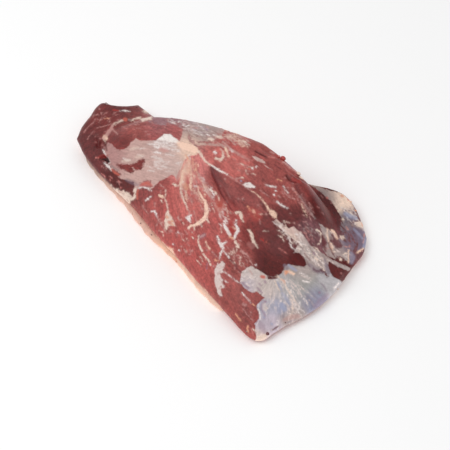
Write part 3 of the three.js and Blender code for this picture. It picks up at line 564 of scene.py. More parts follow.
# Stains, painted shade and thin lines of another tone, laid over what is there: their name, their tone,
# their strength, their widths along them, their line and, for a few, how deep they are cut into the meat in
# millimetres. The shade along the leaf's ridge is painted shade that darkens the lit top of the leaf muscle.
# The left edge of the dark wedge, the shade beside it and the shade under the long seam are painted shade on
# slopes that face away from the light. The near-black of the cleft under the head is painted shade in the
# cleft, over its cut.
STAINS_AND_SHADE = marks_in("""
shade along the leaf's ridge; dark; 0.45; 2.4 4 4 2.4; 308,189 316,199 325,210 334,222
red knot on the head seam; coral; 1; 3.4 3.4; 124.7,119.4 125.6,119.6
red streak on the flap; red; 0.8; 1.6 1.2; 113.3,109.8 118.9,110.8
dark strip by the head seam; maroon; 0.7; 2.4 1.6; 104.7,142.8 106.7,150.4; 0.8
cleft under the head; black red; 1; 1 3.2 3.4 1.4; 99.6,158.8 103.4,157.2 106,158.6 108.6,161.6; 3.5
red lip of the cleft; red; 0.6; 1.6 2.4 1.6; 98.4,157 103,155.4 107.4,156
dark line under the oval; grey; 0.9; 1.2 1.4; 111.3,165.8 118.4,170.3
red line along that; coral; 0.8; 1.6 2.4 1.6; 111.5,169.6 115.4,172.8 119,175
dark shade at the oval's foot; dusk; 0.5; 2 4 3 1.4; 126,180 131,182 136,184.6 140,185; 0.8
red spots at the silverskin's foot; pink; 0.9; 2 4.4 5 2; 140.4,185.6 144,184.2 148,183.6 151.6,185.4
redder middle of those spots; coral; 0.7; 1 2.4 1; 142,184.6 146.5,183 150.4,184.6
blotch on the silverskin; pink; 0.4; 2 4.6 2; 160,149.4 164,150.2 168,150.8
coral rim of the low muscle; coral; 0.8; 1.6 2 1.6; 138.2,189.4 137,194 137.4,199
spot on the fat triangle; orange; 0.9; 2.6 2.6; 167,216.9 167.6,217.3
second spot on the triangle; coral; 0.7; 3.2 3.4; 169.4,222 170.4,223
third spot on the triangle; orange; 0.9; 1.8 1.8; 172,220.9 172.6,221.3
fourth spot on the triangle; orange; 0.8; 2 2; 172.2,224.3 172.9,224.8
red spot in the fan; red; 1; 4.4 4.4; 219.2,205 219.8,205.6
glow round it; coral; 0.45; 8 9; 219.2,204 219.8,207
red of the knot; red; 1; 4 4; 231,229.4 231.6,230
red between the knot's arms; red; 0.6; 5 4; 232,224 233,233
orange patch in the fan; orange; 0.6; 4 5; 185.6,184.6 186.2,187.6
cream haze over the fan's root; peach; 0.5; 6 10 7 3; 187,163 186,170 184,178 182,186
bright lean left of the fan's root; bright lean; 0.5; 3 4; 187,176 187.6,182
glow round the dab; glow; 0.45; 10 11; 252,212 256,216
deep red by the seam's end; maroon; 0.75; 1.6 3 2; 260.6,201.4 262.6,205 264.6,209; 1
left edge of the dark wedge; dark; 0.75; 2.4 2.4 2 1.6 1; 211.4,167.4 213,173.3 215.5,179.4 218.6,184.5
  220.6,190.6 224.7,197.8 228.8,203.9 232.3,210; 1.2
shade beside the wedge's edge; dark; 0.4; 3 6 6 5 2; 213,168.6 216.6,174.4 220.6,181 225,189 230,198
  235,206
shade under the long seam; dark; 0.35; 1.6 2.6 2.6 2.4 2; 209,166.6 219,172.8 230,179.6 240,185.4
  250,192.6 258.6,198.8 265,206
dark line over the lobe; dark; 0.7; 1 1.2; 274.8,164.4 281.4,169; 0.8
slit at the crest; maroon; 0.9; 1.4 2.2 1.2; 255.9,151.1 261,153.7 267,156.6; 1.8
cream line by the slit; rose; 0.8; 1.4 1.2; 270.4,151.6 274,153.6
pink line by the slit; pink; 0.8; 1.6 1.4; 268.7,156.7 274.3,157.8
slit over the leaf muscle; maroon; 0.95; 1.8 2.6 2.2 1.2; 286.6,175.6 289,179 292.6,181.4 296,182; 1.8
red glow over that slit; red; 0.6; 3 3; 293,179.4 300,181.4
red edge of the crest; red; 0.65; 2.4 2 2; 276,155.4 281,158 286,161.6
purple edge of the crest; mauve; 0.7; 1.8 1.6; 287,162.4 291,166.2 295.6,169.4
dark seam before the leaf; dark; 0.55; 2 2.4 2 1.4; 296.4,186 299.4,192.6 304,199.6 308.6,206 314,213; 1.4
dark crease below the fork; dark; 0.7; 1.2 1.6 1.2; 229.5,258.9 233.6,263 237.1,268 241.1,272.3; 1
dark edge of the basin; dark; 0.35; 3 5 5 3; 262,226 258.6,238 258,252 262,266
darkest red of the basin; maroon; 0.45; 7 9 7; 265,231 268,235 274,238
deep red at the basin's right; maroon; 0.6; 3 5 4; 296,256.6 301,260 303.4,263.6
grey streak over the band; grey; 0.8; 1.6 1.4; 274.9,220.9 279,225
first dark stroke in the band; dark; 0.62; 1.4 1.8 1.2; 304.5,253.5 307,256.5 310,260.3; 0.6
second dark stroke in the band; dark; 0.6; 1.2 1.6 1; 306.5,261 307.8,264 310,266.5; 0.6
third dark stroke in the band; dark; 0.5; 1.2 1.4 1; 298,245 302,248.4 304.6,252
fourth dark stroke in the band; dark; 0.5; 1 1.4 1; 308,246.4 312,250.6 314.4,254
purple dab in the band; mauve; 0.7; 1.8 2; 313.6,252.8 314.2,254.6
dark dab in the band; dusk; 0.8; 1.8 2; 324.4,259.6 325,261.6
purple shade over the membrane; dusk; 0.55; 3 5 5 2; 309.6,265 313.6,268.6 318,271 324,273
purple shade by the maroon block; dusk; 0.8; 3 4 3; 326,264 327,269 328.6,273
grey dot on the maroon block; haze; 0.6; 1.6 1.6; 341,273 341.4,273.6
darkest corner of the maroon block; maroon; 0.8; 4 5; 345,275 342.8,279.4; 1.2
blue streak by the basin; blue; 0.8; 2 3 2; 288.6,265.2 292,268 296,270.6
purple shade under the basin; dusk; 0.7; 3 4; 284.6,265.4 286.6,268
coral dot on the membrane; coral; 1; 2.8 3; 261.6,276.6 263.8,277.2
purple spot on the membrane; mauve; 0.8; 2 2.2; 264.8,281.4 265.4,282.6
purple strip over the lobe; maroon; 0.6; 2.4 3 2.4; 268.4,277.6 272.6,277.8 276.6,277.2; 1
first slit of the lobe; mauve; 0.75; 1.4 2 1.2; 242.7,282.6 245.6,285.6 248.8,288.2; 0.8
second slit of the lobe; mauve; 0.75; 1.4 2 1.4; 257.4,287.7 259.6,290.2 262,292.8; 0.8
third slit of the lobe; mauve; 0.6; 1.6 1.6; 259,283.6 261,285.6
purple ring of the membrane; mauve; 0.55; 1.8 2 2 2 1.6; 265.5,301.6 262,304 261.2,308 263,312 264.8,315
  264,318.4
purple ring, top; mauve; 0.5; 1.4 1.6; 262.6,300 266,302
pale middle of the ring; cream; 0.5; 4 4.4; 264.4,305 264.8,308.4
big blue spot; blue; 0.9; 4.6 5.4 4.6; 281.6,304.6 283,307 284.2,309
blue shade beside it; blue; 0.35; 7 7; 276,303 280,310
dark dot at the foot; dusk; 0.6; 2.4 2.4; 282.2,316 283,317
blue dot at the left foot; blue; 0.7; 2 2; 271.2,323.6 272,324.4
blue dot by the ring; blue; 0.7; 1.8 1.8; 263.6,317 264.2,317.8
blue shade on the left foot; mauve; 0.35; 4 6 4; 259,322 262,327 264,332
first blue streak; blue; 0.7; 1.6 2.4 1.4; 277.6,282.5 279.2,286 281.4,290
second blue streak; blue; 0.55; 2.4 4 3; 282,293 286,298 289,304
slate streaks; dusk; 0.35; 2 4 3.4 2; 306.4,295 309.4,299 312.4,303.6 314,308
second slate streak; dusk; 0.3; 1.6 3 2.6; 309,288.6 313.6,294.8 318.4,301
third slate streak; dusk; 0.25; 1.4 2.4 2; 299.6,296 303,301.6 306.6,308
slate streak at the edge; dusk; 0.5; 1.2 2 2.4; 321.5,283.5 324.5,287 326.5,290.6; 0.6
thin line over the membrane; dusk; 0.4; 0.9 0.9; 316.5,279 320,282.5 324.6,287
purple dot on the membrane; mauve; 0.9; 1.6 1.6; 319,292.3 319.6,292.9
purple foot of the right edge; mauve; 0.4; 4 6 5; 327,295 322,300 316,306
brown foot of the membrane; rose; 0.45; 3 5 4; 284,320 291,317 298,316
dark strip under the foot; maroon; 0.8; 1 1.8 1; 272.5,330 275,328.4 278.4,325.8
dark rim of the foot; dusk; 0.7; 1 1.4 1; 286.5,323.4 290,321.6 294,320
blue of the flange; blue; 0.8; 3 4.6 3; 345,213.6 350.4,217 356,218.6
darkest blue of the flange; dusk; 0.7; 2 2.6; 349,219 352,219.8
red-brown rim of the flange; dark; 0.75; 1.2 1.6 1.4; 355.8,210.6 358.5,217.4 360,220.8
orange spot on the flange; orange; 0.8; 2.4 2.4; 341.6,195.8 342.6,196.4
red spot on the flange; coral; 0.7; 1.6 1.6; 348,199.4 348.6,200
orange spot at the rim; orange; 0.9; 1.8 2.4; 362,223.4 362.6,225
pink spot before the flange; pink; 0.8; 1.8 1.8; 326.8,197.6 327.6,198.2
blue streak down the wide end; blue; 0.6; 1.6 2.4 1.6; 354,229.4 358,233.4 362.4,238.6
blue patch at the edge; blue; 0.7; 3 4 3; 366,238.6 365.4,243 364,247
blue patch below it; blue; 0.55; 4 6 4; 351,253.6 352.4,257 351.4,262
dark line down the crumble; dark; 0.7; 1.4 2 1.6; 329,242.4 330.4,248 333.6,254; 1.2
brown shade over the crumble; dark; 0.5; 4 6 4; 331,238.6 335.6,242 340,246
maroon stroke at the edge; maroon; 0.8; 1.6 2.6 2; 343,261.4 347.6,264.4 352,267.6; 1.4
dark stroke by the curved line; dark; 0.8; 3 4 3.4 2; 322.6,236 323.8,241 324.4,246 325.8,251; 1.4
cream in the oval; cream; 0.5; 2.4 3 2; 131,149.4 134.3,148.4 138,147.6
second cream in the oval; cream; 0.5; 2 3 2; 136,157.4 139.4,156.4 143,155.4
third cream in the oval; cream; 0.5; 2 3 2; 122.4,161.4 126.1,160.7 130,160.6
dark red at the head's left; maroon; 0.35; 4 7 7 4; 110,136.6 117,140 124,141.4 131,139
crumbs of blue by the patch; blue; 0.7; 1.6 1.6; 240.6,180.6 241.4,181.2
orange spot on the rim; orange; 0.8; 2.4 3; 174.6,258.4 175.6,261.4
haze at the basin's edge; haze; 0.5; 4 6; 249,244 252,246
bluish patch by the line; mauve; 0.3; 4 4; 201,237.4 204,235
dark line over the streak; dark; 0.5; 1 1.2; 196.6,228 200,226.4 203.6,223.4
""")
# Dots of fat too small to have a shape: their tone, their width, their places.
DOTS = marks_in("""
haze; 1.5; 99.6,109.3 98,114.9 101.6,114.1 98,119.7 105.7,131.7 100.1,138.9 95.7,142.4 102.3,145.5
rose; 1.6; 227.9,153 231.9,154.7 245.7,160.8 181,220 290.7,214 304,215.3 306,222.4 286.6,222.4 294.3,223
  299.4,225.5 220.6,186 225.2,179.4 227.2,201.3 238.5,199.3 243.1,199.3 258.4,205.4 261.9,203.9
  266.7,214.3 248.9,214.3 189.7,254.3 192.8,251.2 181.5,246.7 213.5,266.5 226.9,223.7 192.2,232.4
white; 1.6; 252.3,168.5 256.4,166.9 275.8,190.9 274.2,195 179.6,250.4 173.6,244.3 178.5,232.5 183.2,182.2
  188.4,227.8 256.1,265.1
coral; 1.8; 249.3,169 266.5,242.1 295.7,193 170.6,246.4 192.2,234.4
haze; 1.8; 251.5,312.5 251,315.4 285.5,177.6 292.6,182.7 169.1,124.2 177.6,124.5 152,122.7 165.3,127.3
  349.5,246 206.5,250.5
""")
# Webs of fine strands, laid by a rule: their name, their middle, their reach along and across, degrees from
# straight down towards the right, how far the strands stray from that, how many there are, their tones,
# lengths and widths. Strands that are fanned point away from the membrane's root. A web that has the name of
# an area keeps inside it.
WEBS = marks_in("""
fan; 193,188; 22,12; 14; 12; 40; haze rose peach; 3,9; 0.9,1.6
broad streak of the fan; 207,190; 14,4.5; 28; 14; 34; white peach rose; 2,5; 0.9,1.9
lean under the tendon; 190,165; 10,7; 8; 14; 34; rose peach orange; 3,8; 0.9,1.8
wisps of the band; 298,243; 34,7; 50; 14; 56; silver cream white; 4,11; 0.9,1.4
crumble at the wide end; 336,247; 19,8; 40; 24; 44; rose cream peach silver; 3,8; 0.9,1.7
foot of the band; 316,260; 20,6; 48; 14; 34; silver cream white; 4,10; 0.9,1.2
flange; 353,216; 18,7; 48; 20; 34; cream white; 3,8; 0.9,1.4
ridge; 192,127; 26,6; 68; 12; 64; silver rose white mauve; 3,8; 0.8,1.3
crest; 238,140; 15,4; 62; 14; 34; cream rose peach; 3,7; 0.9,1.4
membrane; 292,300; 27,30; fanned; 9; 80; silver silver white; 5,15; 0.8,1.2
membrane lobe; 249,279; 8,7; 40; 30; 22; white silver; 3,7; 0.9,1.3
silverskin on the head; 151,162; 29,12; 77; 14; 40; silver; 4,12; 1,2.6
bright top of the silverskin; 166,147; 17,5; 80; 12; 26; white silver; 4,10; 1,2
flap; 103,122; 22,16; -47; 18; 20; haze haze rose; 2,5; 0.7,0.8
near muscle; 182,240; 38,13; 32; 12; 30; haze rose cream; 2,7; 0.8,1.1
muscle below the wedge; 222,214; 18,9; 24; 20; 36; rose cream white; 2,6; 0.8,1.3
muscle below the middle; 236,257; 22,12; 35; 20; 26; rose cream; 2,6; 0.8,1.2
upper lobe; 245,168; 26,11; 55; 20; 20; haze rose cream; 2,6; 0.8,1.1
muscle before the leaf; 286,196; 16,9; 48; 16; 12; haze rose; 2,6; 0.8,1
dark band; 112,180; 20,5; 42; 16; 20; haze pink; 1.5,4; 0.8,1
head; 138,128; 22,7; 78; 16; 16; haze pink; 2,5; 0.8,1
muscle at the wide end; 310,234; 14,8; 40; 16; 14; haze grey; 3,7; 0.8,1
leaf muscle; 322,208; 20,8; 35; 10; 6; haze; 2,5; 0.8,0.9
strand at the leaf's edge; 307,207; 16,3; 33; 10; 22; grey rose haze; 4,9; 0.9,1.5
""")
WEB_SEED = 11
# The way the fibres run: where, degrees from straight down towards the right, the middle, the reach.
GRAIN = marks_in("""
flap; -47; 100,122; 22
head; 78; 135,128; 15
silverskin on the head; 77; 145,160; 24
left band; 20; 110,182; 15
ridge; 66; 190,124; 18
fan's root; 8; 190,172; 11
upper lobe; 48; 250,172; 22
crest; 53; 262,150; 14
crest, right; 53; 290,170; 12
leaf muscle; 35; 320,208; 18
basin; 45; 276,246; 20
wide end's muscle; 40; 308,234; 12
flange; 42; 350,215; 16
round muscle; 10; 144,196; 9
edge of the wide end; 24; 356,242; 14
""")
NEAR_MUSCLE = {"turn": 30, "middle": (200, 252), "reach": 46,
               "root": (215, 235), "bend": 0.0018, "spread": 0.006}
MEMBRANE_ROOT = (279, 265)
# How far apart the membrane's fibres stand, in pixels for each radian round its root.
MEMBRANE_FAN = 26
# The sides that the photograph doesn't show. How much depth counts beside height from one fibre to the next.
FAR_FIBRES_DEPTH = 0.4
# The marks there, in pixels: how many there are, their sizes, and how far they stray from the cut's length.
FAR_STREAKS = {"count": 150, "stray": (0.25, 0.18), "bend": 0.25, "length": (4, 20), "width": (0.8, 2.4),
               "tones": ["rose", "cream", "white", "peach"]}
FAR_SKIN = {"count": 14, "reach": (10, 22), "wander": 5, "lengths": (34, 21), "veil": 0.85}
FAR_STAINS = {"count": 26, "stray": (0.3, 0.2), "length": 9, "widths": (2, 4, 2), "strength": 0.6,
              "depth": 0.6, "tones": ["dark", "maroon", "mauve"]}
# How wide the clouds of paler tone are there, in millimetres.
FAR_CLOUDS = (90, 55, 38)
# Loose bits that stand up from the surface: their name, their tone, their place, their length and width, and
# how far their middle is above the surface in millimetres. They are a little less deep than wide.
SHRED_DEPTH = 0.84
SHREDS = marks_in("""
red knob on the crest; red; 282.6,158.6; 6,5; 1.6
small knob beside it; pink; 278.6,155.9; 3,2.2; 0.8
pale knob on the crest; cream; 300.4,172.4; 5.4,3.2; 1
grey tag on the flap's tip; grey; 106.4,102.8; 4.4,2.2; 0.5
dark knob at the tip; dark; 268,334; 3.6,3; 0.8
cream tag at the tip; cream; 272.6,330.6; 1.2,0.8; 0.4
dark tag at the foot; dark; 286,323; 1.4,1.1; 0.3
crumb at the wide end; peach; 363,225.6; 2,1.2; 0.4
grey tag by the tip; grey; 246,331.4; 1.6,1; 0.3
peach tag of the flange; peach; 351,200.8; 2.8,1.8; 0.6
orange tag of the flange; orange; 356,210.4; 2.4,1.6; 0.5
tag under the flange; rose; 362,250.4; 2.4,1.6; 0.5
pale tag at the foot; cream; 338.5,288.5; 2.4,1.4; 0.5
tag at the maroon block; rose; 346,281; 2,1.4; 0.4
tag on the flap's edge; dark; 137,106.6; 2.4,1.4; 0.4
first tag of the rim; cream; 131.6,214; 1.8,1.4; 0.7
second tag of the rim; dark; 140,223.4; 1.6,1.1; 0.7
third tag of the rim; dark; 151,235; 1.5,1.1; 0.7
fourth tag of the rim; orange; 176,262; 1.6,1.2; 0.7
""")


# ---- Curves and heights ----

def smooth_curve(places, values):
    """A smooth curve through values that stand at places, as a function of place."""
    places, values = np.array(places, float), np.array(values, float)
    tangents = np.gradient(values, places, axis=0)

    def at(place):
        place = np.asarray(place, float)
        k = np.clip(np.searchsorted(places, place, "right") - 1, 0, len(places) - 2)
        span = places[k + 1] - places[k]
        t = (place - places[k]) / span
        if values.ndim > 1:
            span, t = span[..., None], t[..., None]
        return ((2 * t ** 3 - 3 * t ** 2 + 1) * values[k] + (t ** 3 - 2 * t ** 2 + t) * span * tangents[k]
                + (3 * t ** 2 - 2 * t ** 3) * values[k + 1] + (t ** 3 - t ** 2) * span * tangents[k + 1])
    return at


def edge_curve(points):
    points = np.array(points, float)
    steps = np.sqrt(np.linalg.norm(np.diff(points, axis=0), axis=1))
    places = np.concatenate([[0], np.cumsum(steps)])
    return smooth_curve(places / places[-1], points)


EDGE_CURVE = {name: edge_curve(points) for name, points in EDGE.items()}
GAUGE_CURVE = {name: smooth_curve(STATION, heights) for name, heights in GAUGE.items()}


def smoothstep(value, low, high):
    t = np.clip((value - low) / (high - low), 0, 1)
    return t * t * (3 - 2 * t)


def plan(u, v):
    """The outline filled in: a place at a share u along and a share v across."""
    u, v = np.broadcast_arrays(np.asarray(u, float), np.asarray(v, float))
    corner = {name: np.array(point, float) for name, point in CORNER.items()}
    along, across = u[..., None], v[..., None]
    place = (EDGE_CURVE["near"](u) * (1 - across) + EDGE_CURVE["far"](u) * across
             + EDGE_CURVE["narrow"](v) * (1 - along) + EDGE_CURVE["wide"](v) * along
             - corner["narrow_near"] * (1 - along) * (1 - across) - corner["wide_near"] * along * (1 - across)
             - corner["narrow_far"] * (1 - along) * across - corner["wide_far"] * along * across)
    return rounded_tip(place)


def spans(u, v):
    """How long and how wide the outline is through a place."""
    length = np.linalg.norm(plan(np.ones_like(v), v) - plan(np.zeros_like(v), v), axis=-1)
    width = np.linalg.norm(plan(u, np.ones_like(u)) - plan(u, np.zeros_like(u)), axis=-1)
    return length, width


def rounded_tip(place):
    """The corner of the near edge and the wide end, blunt as flesh is, and not a sharp point."""
    corner = np.array(CORNER["wide_near"], float)
    outward = (place - (corner + TIP_ROUNDING * np.array([-1, 1]))) * np.array([1, -1])
    a, b = np.maximum(outward[..., 0], 0), np.maximum(outward[..., 1], 0)
    pull = 1 - np.maximum(a, b) / np.maximum(np.hypot(a, b), 1e-9)
    pull = np.where((a > 0) & (b > 0), pull, 0)
    return place - np.stack([a * pull, -b * pull], axis=-1)


def plan_inset(u, v, inset):
    length, width = spans(u, v)
    return plan(inset / length + u * (1 - 2 * inset / length), inset / width + v * (1 - 2 * inset / width))


def from_line(x, y, line):
    """The distance to a line, the side of it, and the share of the way along it."""
    line = np.array(line, float)
    steps = np.diff(line, axis=0)
    lengths = np.linalg.norm(steps, axis=1)
    travelled = np.concatenate([[0], np.cumsum(lengths)])
    nearest, side, share = np.full(x.shape, np.inf), np.ones(x.shape), np.zeros(x.shape)
    for start, (dx, dy), length, before in zip(line, steps, lengths, travelled):
        gx, gy = x - start[0], y - start[1]
        t = np.clip((gx * dx + gy * dy) / length ** 2, 0, 1)
        ex, ey = gx - t * dx, gy - t * dy
        distance = np.hypot(ex, ey)
        closer = distance < nearest
        nearest = np.where(closer, distance, nearest)
        side = np.where(closer, np.where(dx * ey - dy * ex < 0, -1, 1), side)
        share = np.where(closer, (before + t * length) / travelled[-1], share)
    return nearest, side, share


def rolled(distance, reach):
    t = np.clip(1 - distance / reach, 0, 1)
    return np.sqrt(1 - t * t)


def shoulder(distance, reach):
    share = np.clip(distance / reach, 0, 1)
    climbed = (np.hypot(share, SOFT_FOOT) - SOFT_FOOT) / (math.hypot(1, SOFT_FOOT) - SOFT_FOOT)
    return np.sin(0.5 * np.pi * climbed)


def waves(lengths, x, y):
    total = np.zeros_like(x)
    for i, length in enumerate(lengths):
        turn = 0.9 + 2.1 * i
        a = x * np.cos(turn) + y * np.sin(turn)
        b = y * np.cos(turn) - x * np.sin(turn)
        total += np.sin(2 * np.pi * a / length + 1.7 * np.sin(2 * np.pi * b / (1.6 * length)))
    return total / len(lengths)


def gauged(x, v):
    near, middle, far = GAUGE_AT["near"], GAUGE_AT["middle"], GAUGE_AT["far"]
    return (GAUGE_CURVE["near"](x) * (v - middle) * (v - far) / ((near - middle) * (near - far))
            + GAUGE_CURVE["middle"](x) * (v - near) * (v - far) / ((middle - near) * (middle - far))
            + GAUGE_CURVE["far"](x) * (v - near) * (v - middle) / ((far - near) * (far - middle)))


def top_height(x, y, v):
    flap = FLAP["height"] + FLAP["slope"] * (x - FLAP["from"])
    distance, side, _ = from_line(x, y, HEAD_SEAM)
    climb = shoulder(distance * side, HEAD_SHOULDER)
    z = flap * (1 - climb) + gauged(x, v) * climb

    flange = FLANGE["height"] + FLANGE["rise"] * (1 - smoothstep(y, FLANGE["to"], FLANGE["from"]))
    distance, side, along = from_line(x, y, FLANGE_SEAM)
    inside = distance * side
    foot, top = FLANGE_BLEND["below"] * FLANGE_SHOULDER, FLANGE_BLEND["above"] * FLANGE_SHOULDER
    slope = smoothstep(inside, foot, top)
    share = smoothstep(along, *FLANGE_BLEND["ends"])
    climb = slope * (1 - share) + shoulder(inside, FLANGE_SHOULDER) * share
    z = flange * (1 - climb) + z * climb

    for _, line, (left, right), depth, ends in CREASES:
        distance, side, along = from_line(x, y, line)
        fade = smoothstep(along, 0, ends) * smoothstep(1 - along, 0, ends)
        z = z - depth * np.exp(-(distance / np.where(side > 0, left, right)) ** 2) * fade
    for _, middle, turn, reach, height in SWELLS:
        turn = np.radians(turn)
        dx, dy = x - middle[0], y - middle[1]
        a = (dx * np.cos(turn) + dy * np.sin(turn)) / reach[0]
        b = (dy * np.cos(turn) - dx * np.sin(turn)) / reach[1]
        z = z + height * np.exp(-(a * a + b * b))
    return z + UNEVEN["height"] * waves(UNEVEN["lengths"], x, y)


def widest_height(u):
    return WIDEST["narrow"] + (WIDEST["wide"] - WIDEST["narrow"]) * smoothstep(u, *WIDEST_CHANGE)


def top_surface(u, v):
    place = plan(u, v)
    length, width = spans(u, v)
    rise = (rolled(v * width, ROLL["near"]) * rolled((1 - v) * width, ROLL["far"])
            * rolled(u * length, ROLL["narrow"]) * rolled((1 - u) * length, ROLL["wide"]))
    widest = widest_height(u)
    z = widest + (top_height(place[..., 0], place[..., 1], v) - widest) * rise
    return np.concatenate([place, z[..., None]], axis=-1)


def spread(count, crowding):
    """Shares from 0 to 1 that stand closer together at both ends."""
    share = np.linspace(0, 1, count + 1)
    return (1 - 2 * crowding) * share + crowding * (1 - np.cos(np.pi * share))


def fat_shows(u, v):
    """How far the fat cap stands out from under the lean at a place on the outline."""
    out = smoothstep(u, *FAT["shows_from"]) * (1 - smoothstep(u, *FAT["shows_to"]))
    return np.where(v > 0, 0, out)


# ---- The photograph's view ----

def view_axes():
    azimuth, elevation = math.radians(PHOTO["azimuth"]), math.radians(PHOTO["elevation"])
    back = np.array([math.sin(azimuth) * math.cos(elevation), -math.cos(azimuth) * math.cos(elevation),
                     math.sin(elevation)])
    right = np.array([math.cos(azimuth), math.sin(azimuth), 0])
    return right, np.cross(back, right), back


RIGHT, UP, BACK = view_axes()
EYE = np.array(PHOTO_TARGET) + BACK * PHOTO["distance"]


def in_photo(points):
    """Where points in metres stand on the photograph, in pixels."""
    away = points - EYE
    depth = -(away @ BACK)
    half = PHOTO["side"] / 2
    return np.column_stack([half + PHOTO["focal"] * (away @ RIGHT) / depth,
                            half - PHOTO["focal"] * (away @ UP) / depth])


# ---- Tones ----

def linear(code):
    parts = np.array([int(code[i:i + 2], 16) / 255 for i in (0, 2, 4)])
    return np.where(parts <= 0.04045, parts / 12.92, ((parts + 0.055) / 1.055) ** 2.4)


def tone(name):
    return linear(TONE[name])


def between(first, second, share):
    """A tone between two for every share."""
    return tone(first) + (tone(second) - tone(first)) * share[:, None]


def without_light(seen, normals):
    """The tone of the meat itself, from the tone seen in the stage's light at every place."""
    up = 0.5 + 0.5 * normals[:, 2]
    lamp = np.maximum(normals @ (LAMP_PLACE / np.linalg.norm(LAMP_PLACE)), 0)
    light = LIGHT["sky"] * up + LIGHT["floor"] * (1 - up) + LIGHT["lamp"] * lamp
    return np.maximum(seen - LIGHT["gloss"], LIGHT["darkest"]) / np.clip(light, *LIGHT["range"])[:, None]


def soft_spots(pixels, spots):
    """The tone at every pixel, from the soft spots round it."""
    middles = np.array([middle for _, _, middle, _ in spots], float)
    reaches = np.array([reach for _, _, _, reach in spots], float)
    colours = np.array([tone(name) for _, name, _, _ in spots])
    distance = np.linalg.norm(pixels[:, None, :] - middles[None], axis=2) / (SPOT_SOFTNESS * reaches)
    nearness = -0.5 * distance ** 2
    faintest = -30
    weight = np.exp(np.maximum(nearness - nearness.max(axis=1, keepdims=True), faintest))
    return (weight @ colours) / weight.sum(axis=1, keepdims=True)


# ---- Marks on the photograph ----

def inside_streak(places, line, widths):
    """How far inside a streak every place is; outside it is less than nothing."""
    line = np.array(line, float)
    steps = np.diff(line, axis=0)
    lengths = np.maximum(np.linalg.norm(steps, axis=1), 1e-6)
    travelled = np.concatenate([[0], np.cumsum(lengths)])
    width_at = np.linspace(0, 1, len(widths))
    best = np.full(len(places), -np.inf)
    for start, step, length, before in zip(line, steps, lengths, travelled):
        t = np.clip(((places - start) @ step) / length ** 2, 0, 1)
        distance = np.linalg.norm(places - start - t[:, None] * step, axis=1)
        half = 0.5 * np.interp((before + t * length) / travelled[-1], width_at, widths)
        best = np.maximum(best, half - distance)
    return best


def inside_area(places, outline):
    """How far inside an outline every place is; outside it is less than nothing."""
    outline = np.array(outline, float)
    nearest = np.full(len(places), np.inf)
    inside = np.zeros(len(places), bool)
    for start, end in zip(outline, np.roll(outline, -1, axis=0)):
        step = end - start
        t = np.clip(((places - start) @ step) / (step @ step), 0, 1)
        nearest = np.minimum(nearest, np.linalg.norm(places - start - t[:, None] * step, axis=1))
        crosses = (start[1] > places[:, 1]) != (end[1] > places[:, 1])
        with np.errstate(divide="ignore", invalid="ignore"):
            where = start[0] + (places[:, 1] - start[1]) / (end[1] - start[1]) * step[0]
        inside ^= crosses & (places[:, 0] < where)
    return np.where(inside, nearest, -nearest)


STAIN_AND_SHADE_EDGE = {"least": 0.35, "of_width": 0.22, "inside": 0.8}


def near_mark(places, mark, margin):
    mark = np.array(mark, float)
    low, high = mark.min(axis=0) - margin, mark.max(axis=0) + margin
    return np.flatnonzero(np.all((places > low) & (places < high), axis=1))


class Marks:
    """The silverskin, the fat with one painted highlight, the stains with some painted shade, and the cuts at
    every place on a surface, in pixels.
    """

    REACH = 4
    SKIN_EDGE = 1.5
    FAT_EDGE = 1.4
    CUT_EDGE = 0.9

    def __init__(self, places):
        self.places = places
        count = len(places)
        self.skin, self.veil = np.full(count, -self.REACH, float), np.full(count, 0.001)
        self.fat = np.full(count, -self.REACH, float)
        self.tones, self.weights = np.zeros((count, 3)), np.zeros(count)
        self.stain, self.strength = np.zeros((count, 3)), np.zeros(count)
        self.cut = np.zeros(count)

    def near_area(self, outline):
        near = near_mark(self.places, outline, self.REACH)
        return near, np.clip(inside_area(self.places[near], outline), -self.REACH, self.REACH)

    def skin_area(self, opacity, outline):
        near, depth = self.near_area(outline)
        weight = smoothstep(depth, -self.SKIN_EDGE, self.SKIN_EDGE)
        self.veil[near] = np.maximum(self.veil[near], opacity * weight)
        self.skin[near] = np.maximum(self.skin[near], depth)

    def skin_gap(self, outline):
        near, depth = self.near_area(outline)
        self.skin[near] = np.minimum(self.skin[near], -depth)

    def lay_fat(self, near, depth, colour):
        weight = np.clip(depth + self.FAT_EDGE, 0, None) ** 2
        self.tones[near] += weight[:, None] * colour
        self.weights[near] += weight
        self.fat[near] = np.maximum(self.fat[near], depth)

    def fat_patch(self, colour, outline):
        self.lay_fat(*self.near_area(outline), colour)

    def streak(self, colour, widths, line):
        near = near_mark(self.places, line, self.REACH)
        depth = inside_streak(self.places[near], line, widths)
        self.lay_fat(near, np.clip(depth, -self.REACH, self.REACH), colour)

    # Lays one mark of another tone along a line: a stain, and for a few lines painted shade.
    def stain_line(self, colour, strength, widths, line, depth=0):
        near = near_mark(self.places, line, self.REACH + max(widths))
        inside = inside_streak(self.places[near], line, widths)
        soft = STAIN_AND_SHADE_EDGE["least"] + STAIN_AND_SHADE_EDGE["of_width"] * max(widths)
        share = strength * smoothstep(inside, -soft, STAIN_AND_SHADE_EDGE["inside"] * soft)
        old = self.strength[near]
        total = share + old * (1 - share)
        mixed = share[:, None] * colour + (old * (1 - share))[:, None] * self.stain[near]
        self.stain[near] = mixed / np.maximum(total, 1e-6)[:, None]
        self.strength[near] = total
        cut = depth * smoothstep(inside, -self.CUT_EDGE, 0.5 * min(widths))
        self.cut[near] = np.maximum(self.cut[near], cut)

    def fat_tone(self):
        bare = self.weights < 1e-6
        return np.where(bare[:, None], tone("cream"), self.tones / np.maximum(self.weights, 1e-6)[:, None])


def strand(width):
    """The widths of a strand from end to end: widest in the middle."""
    return 0.6 * width, width, 0.5 * width


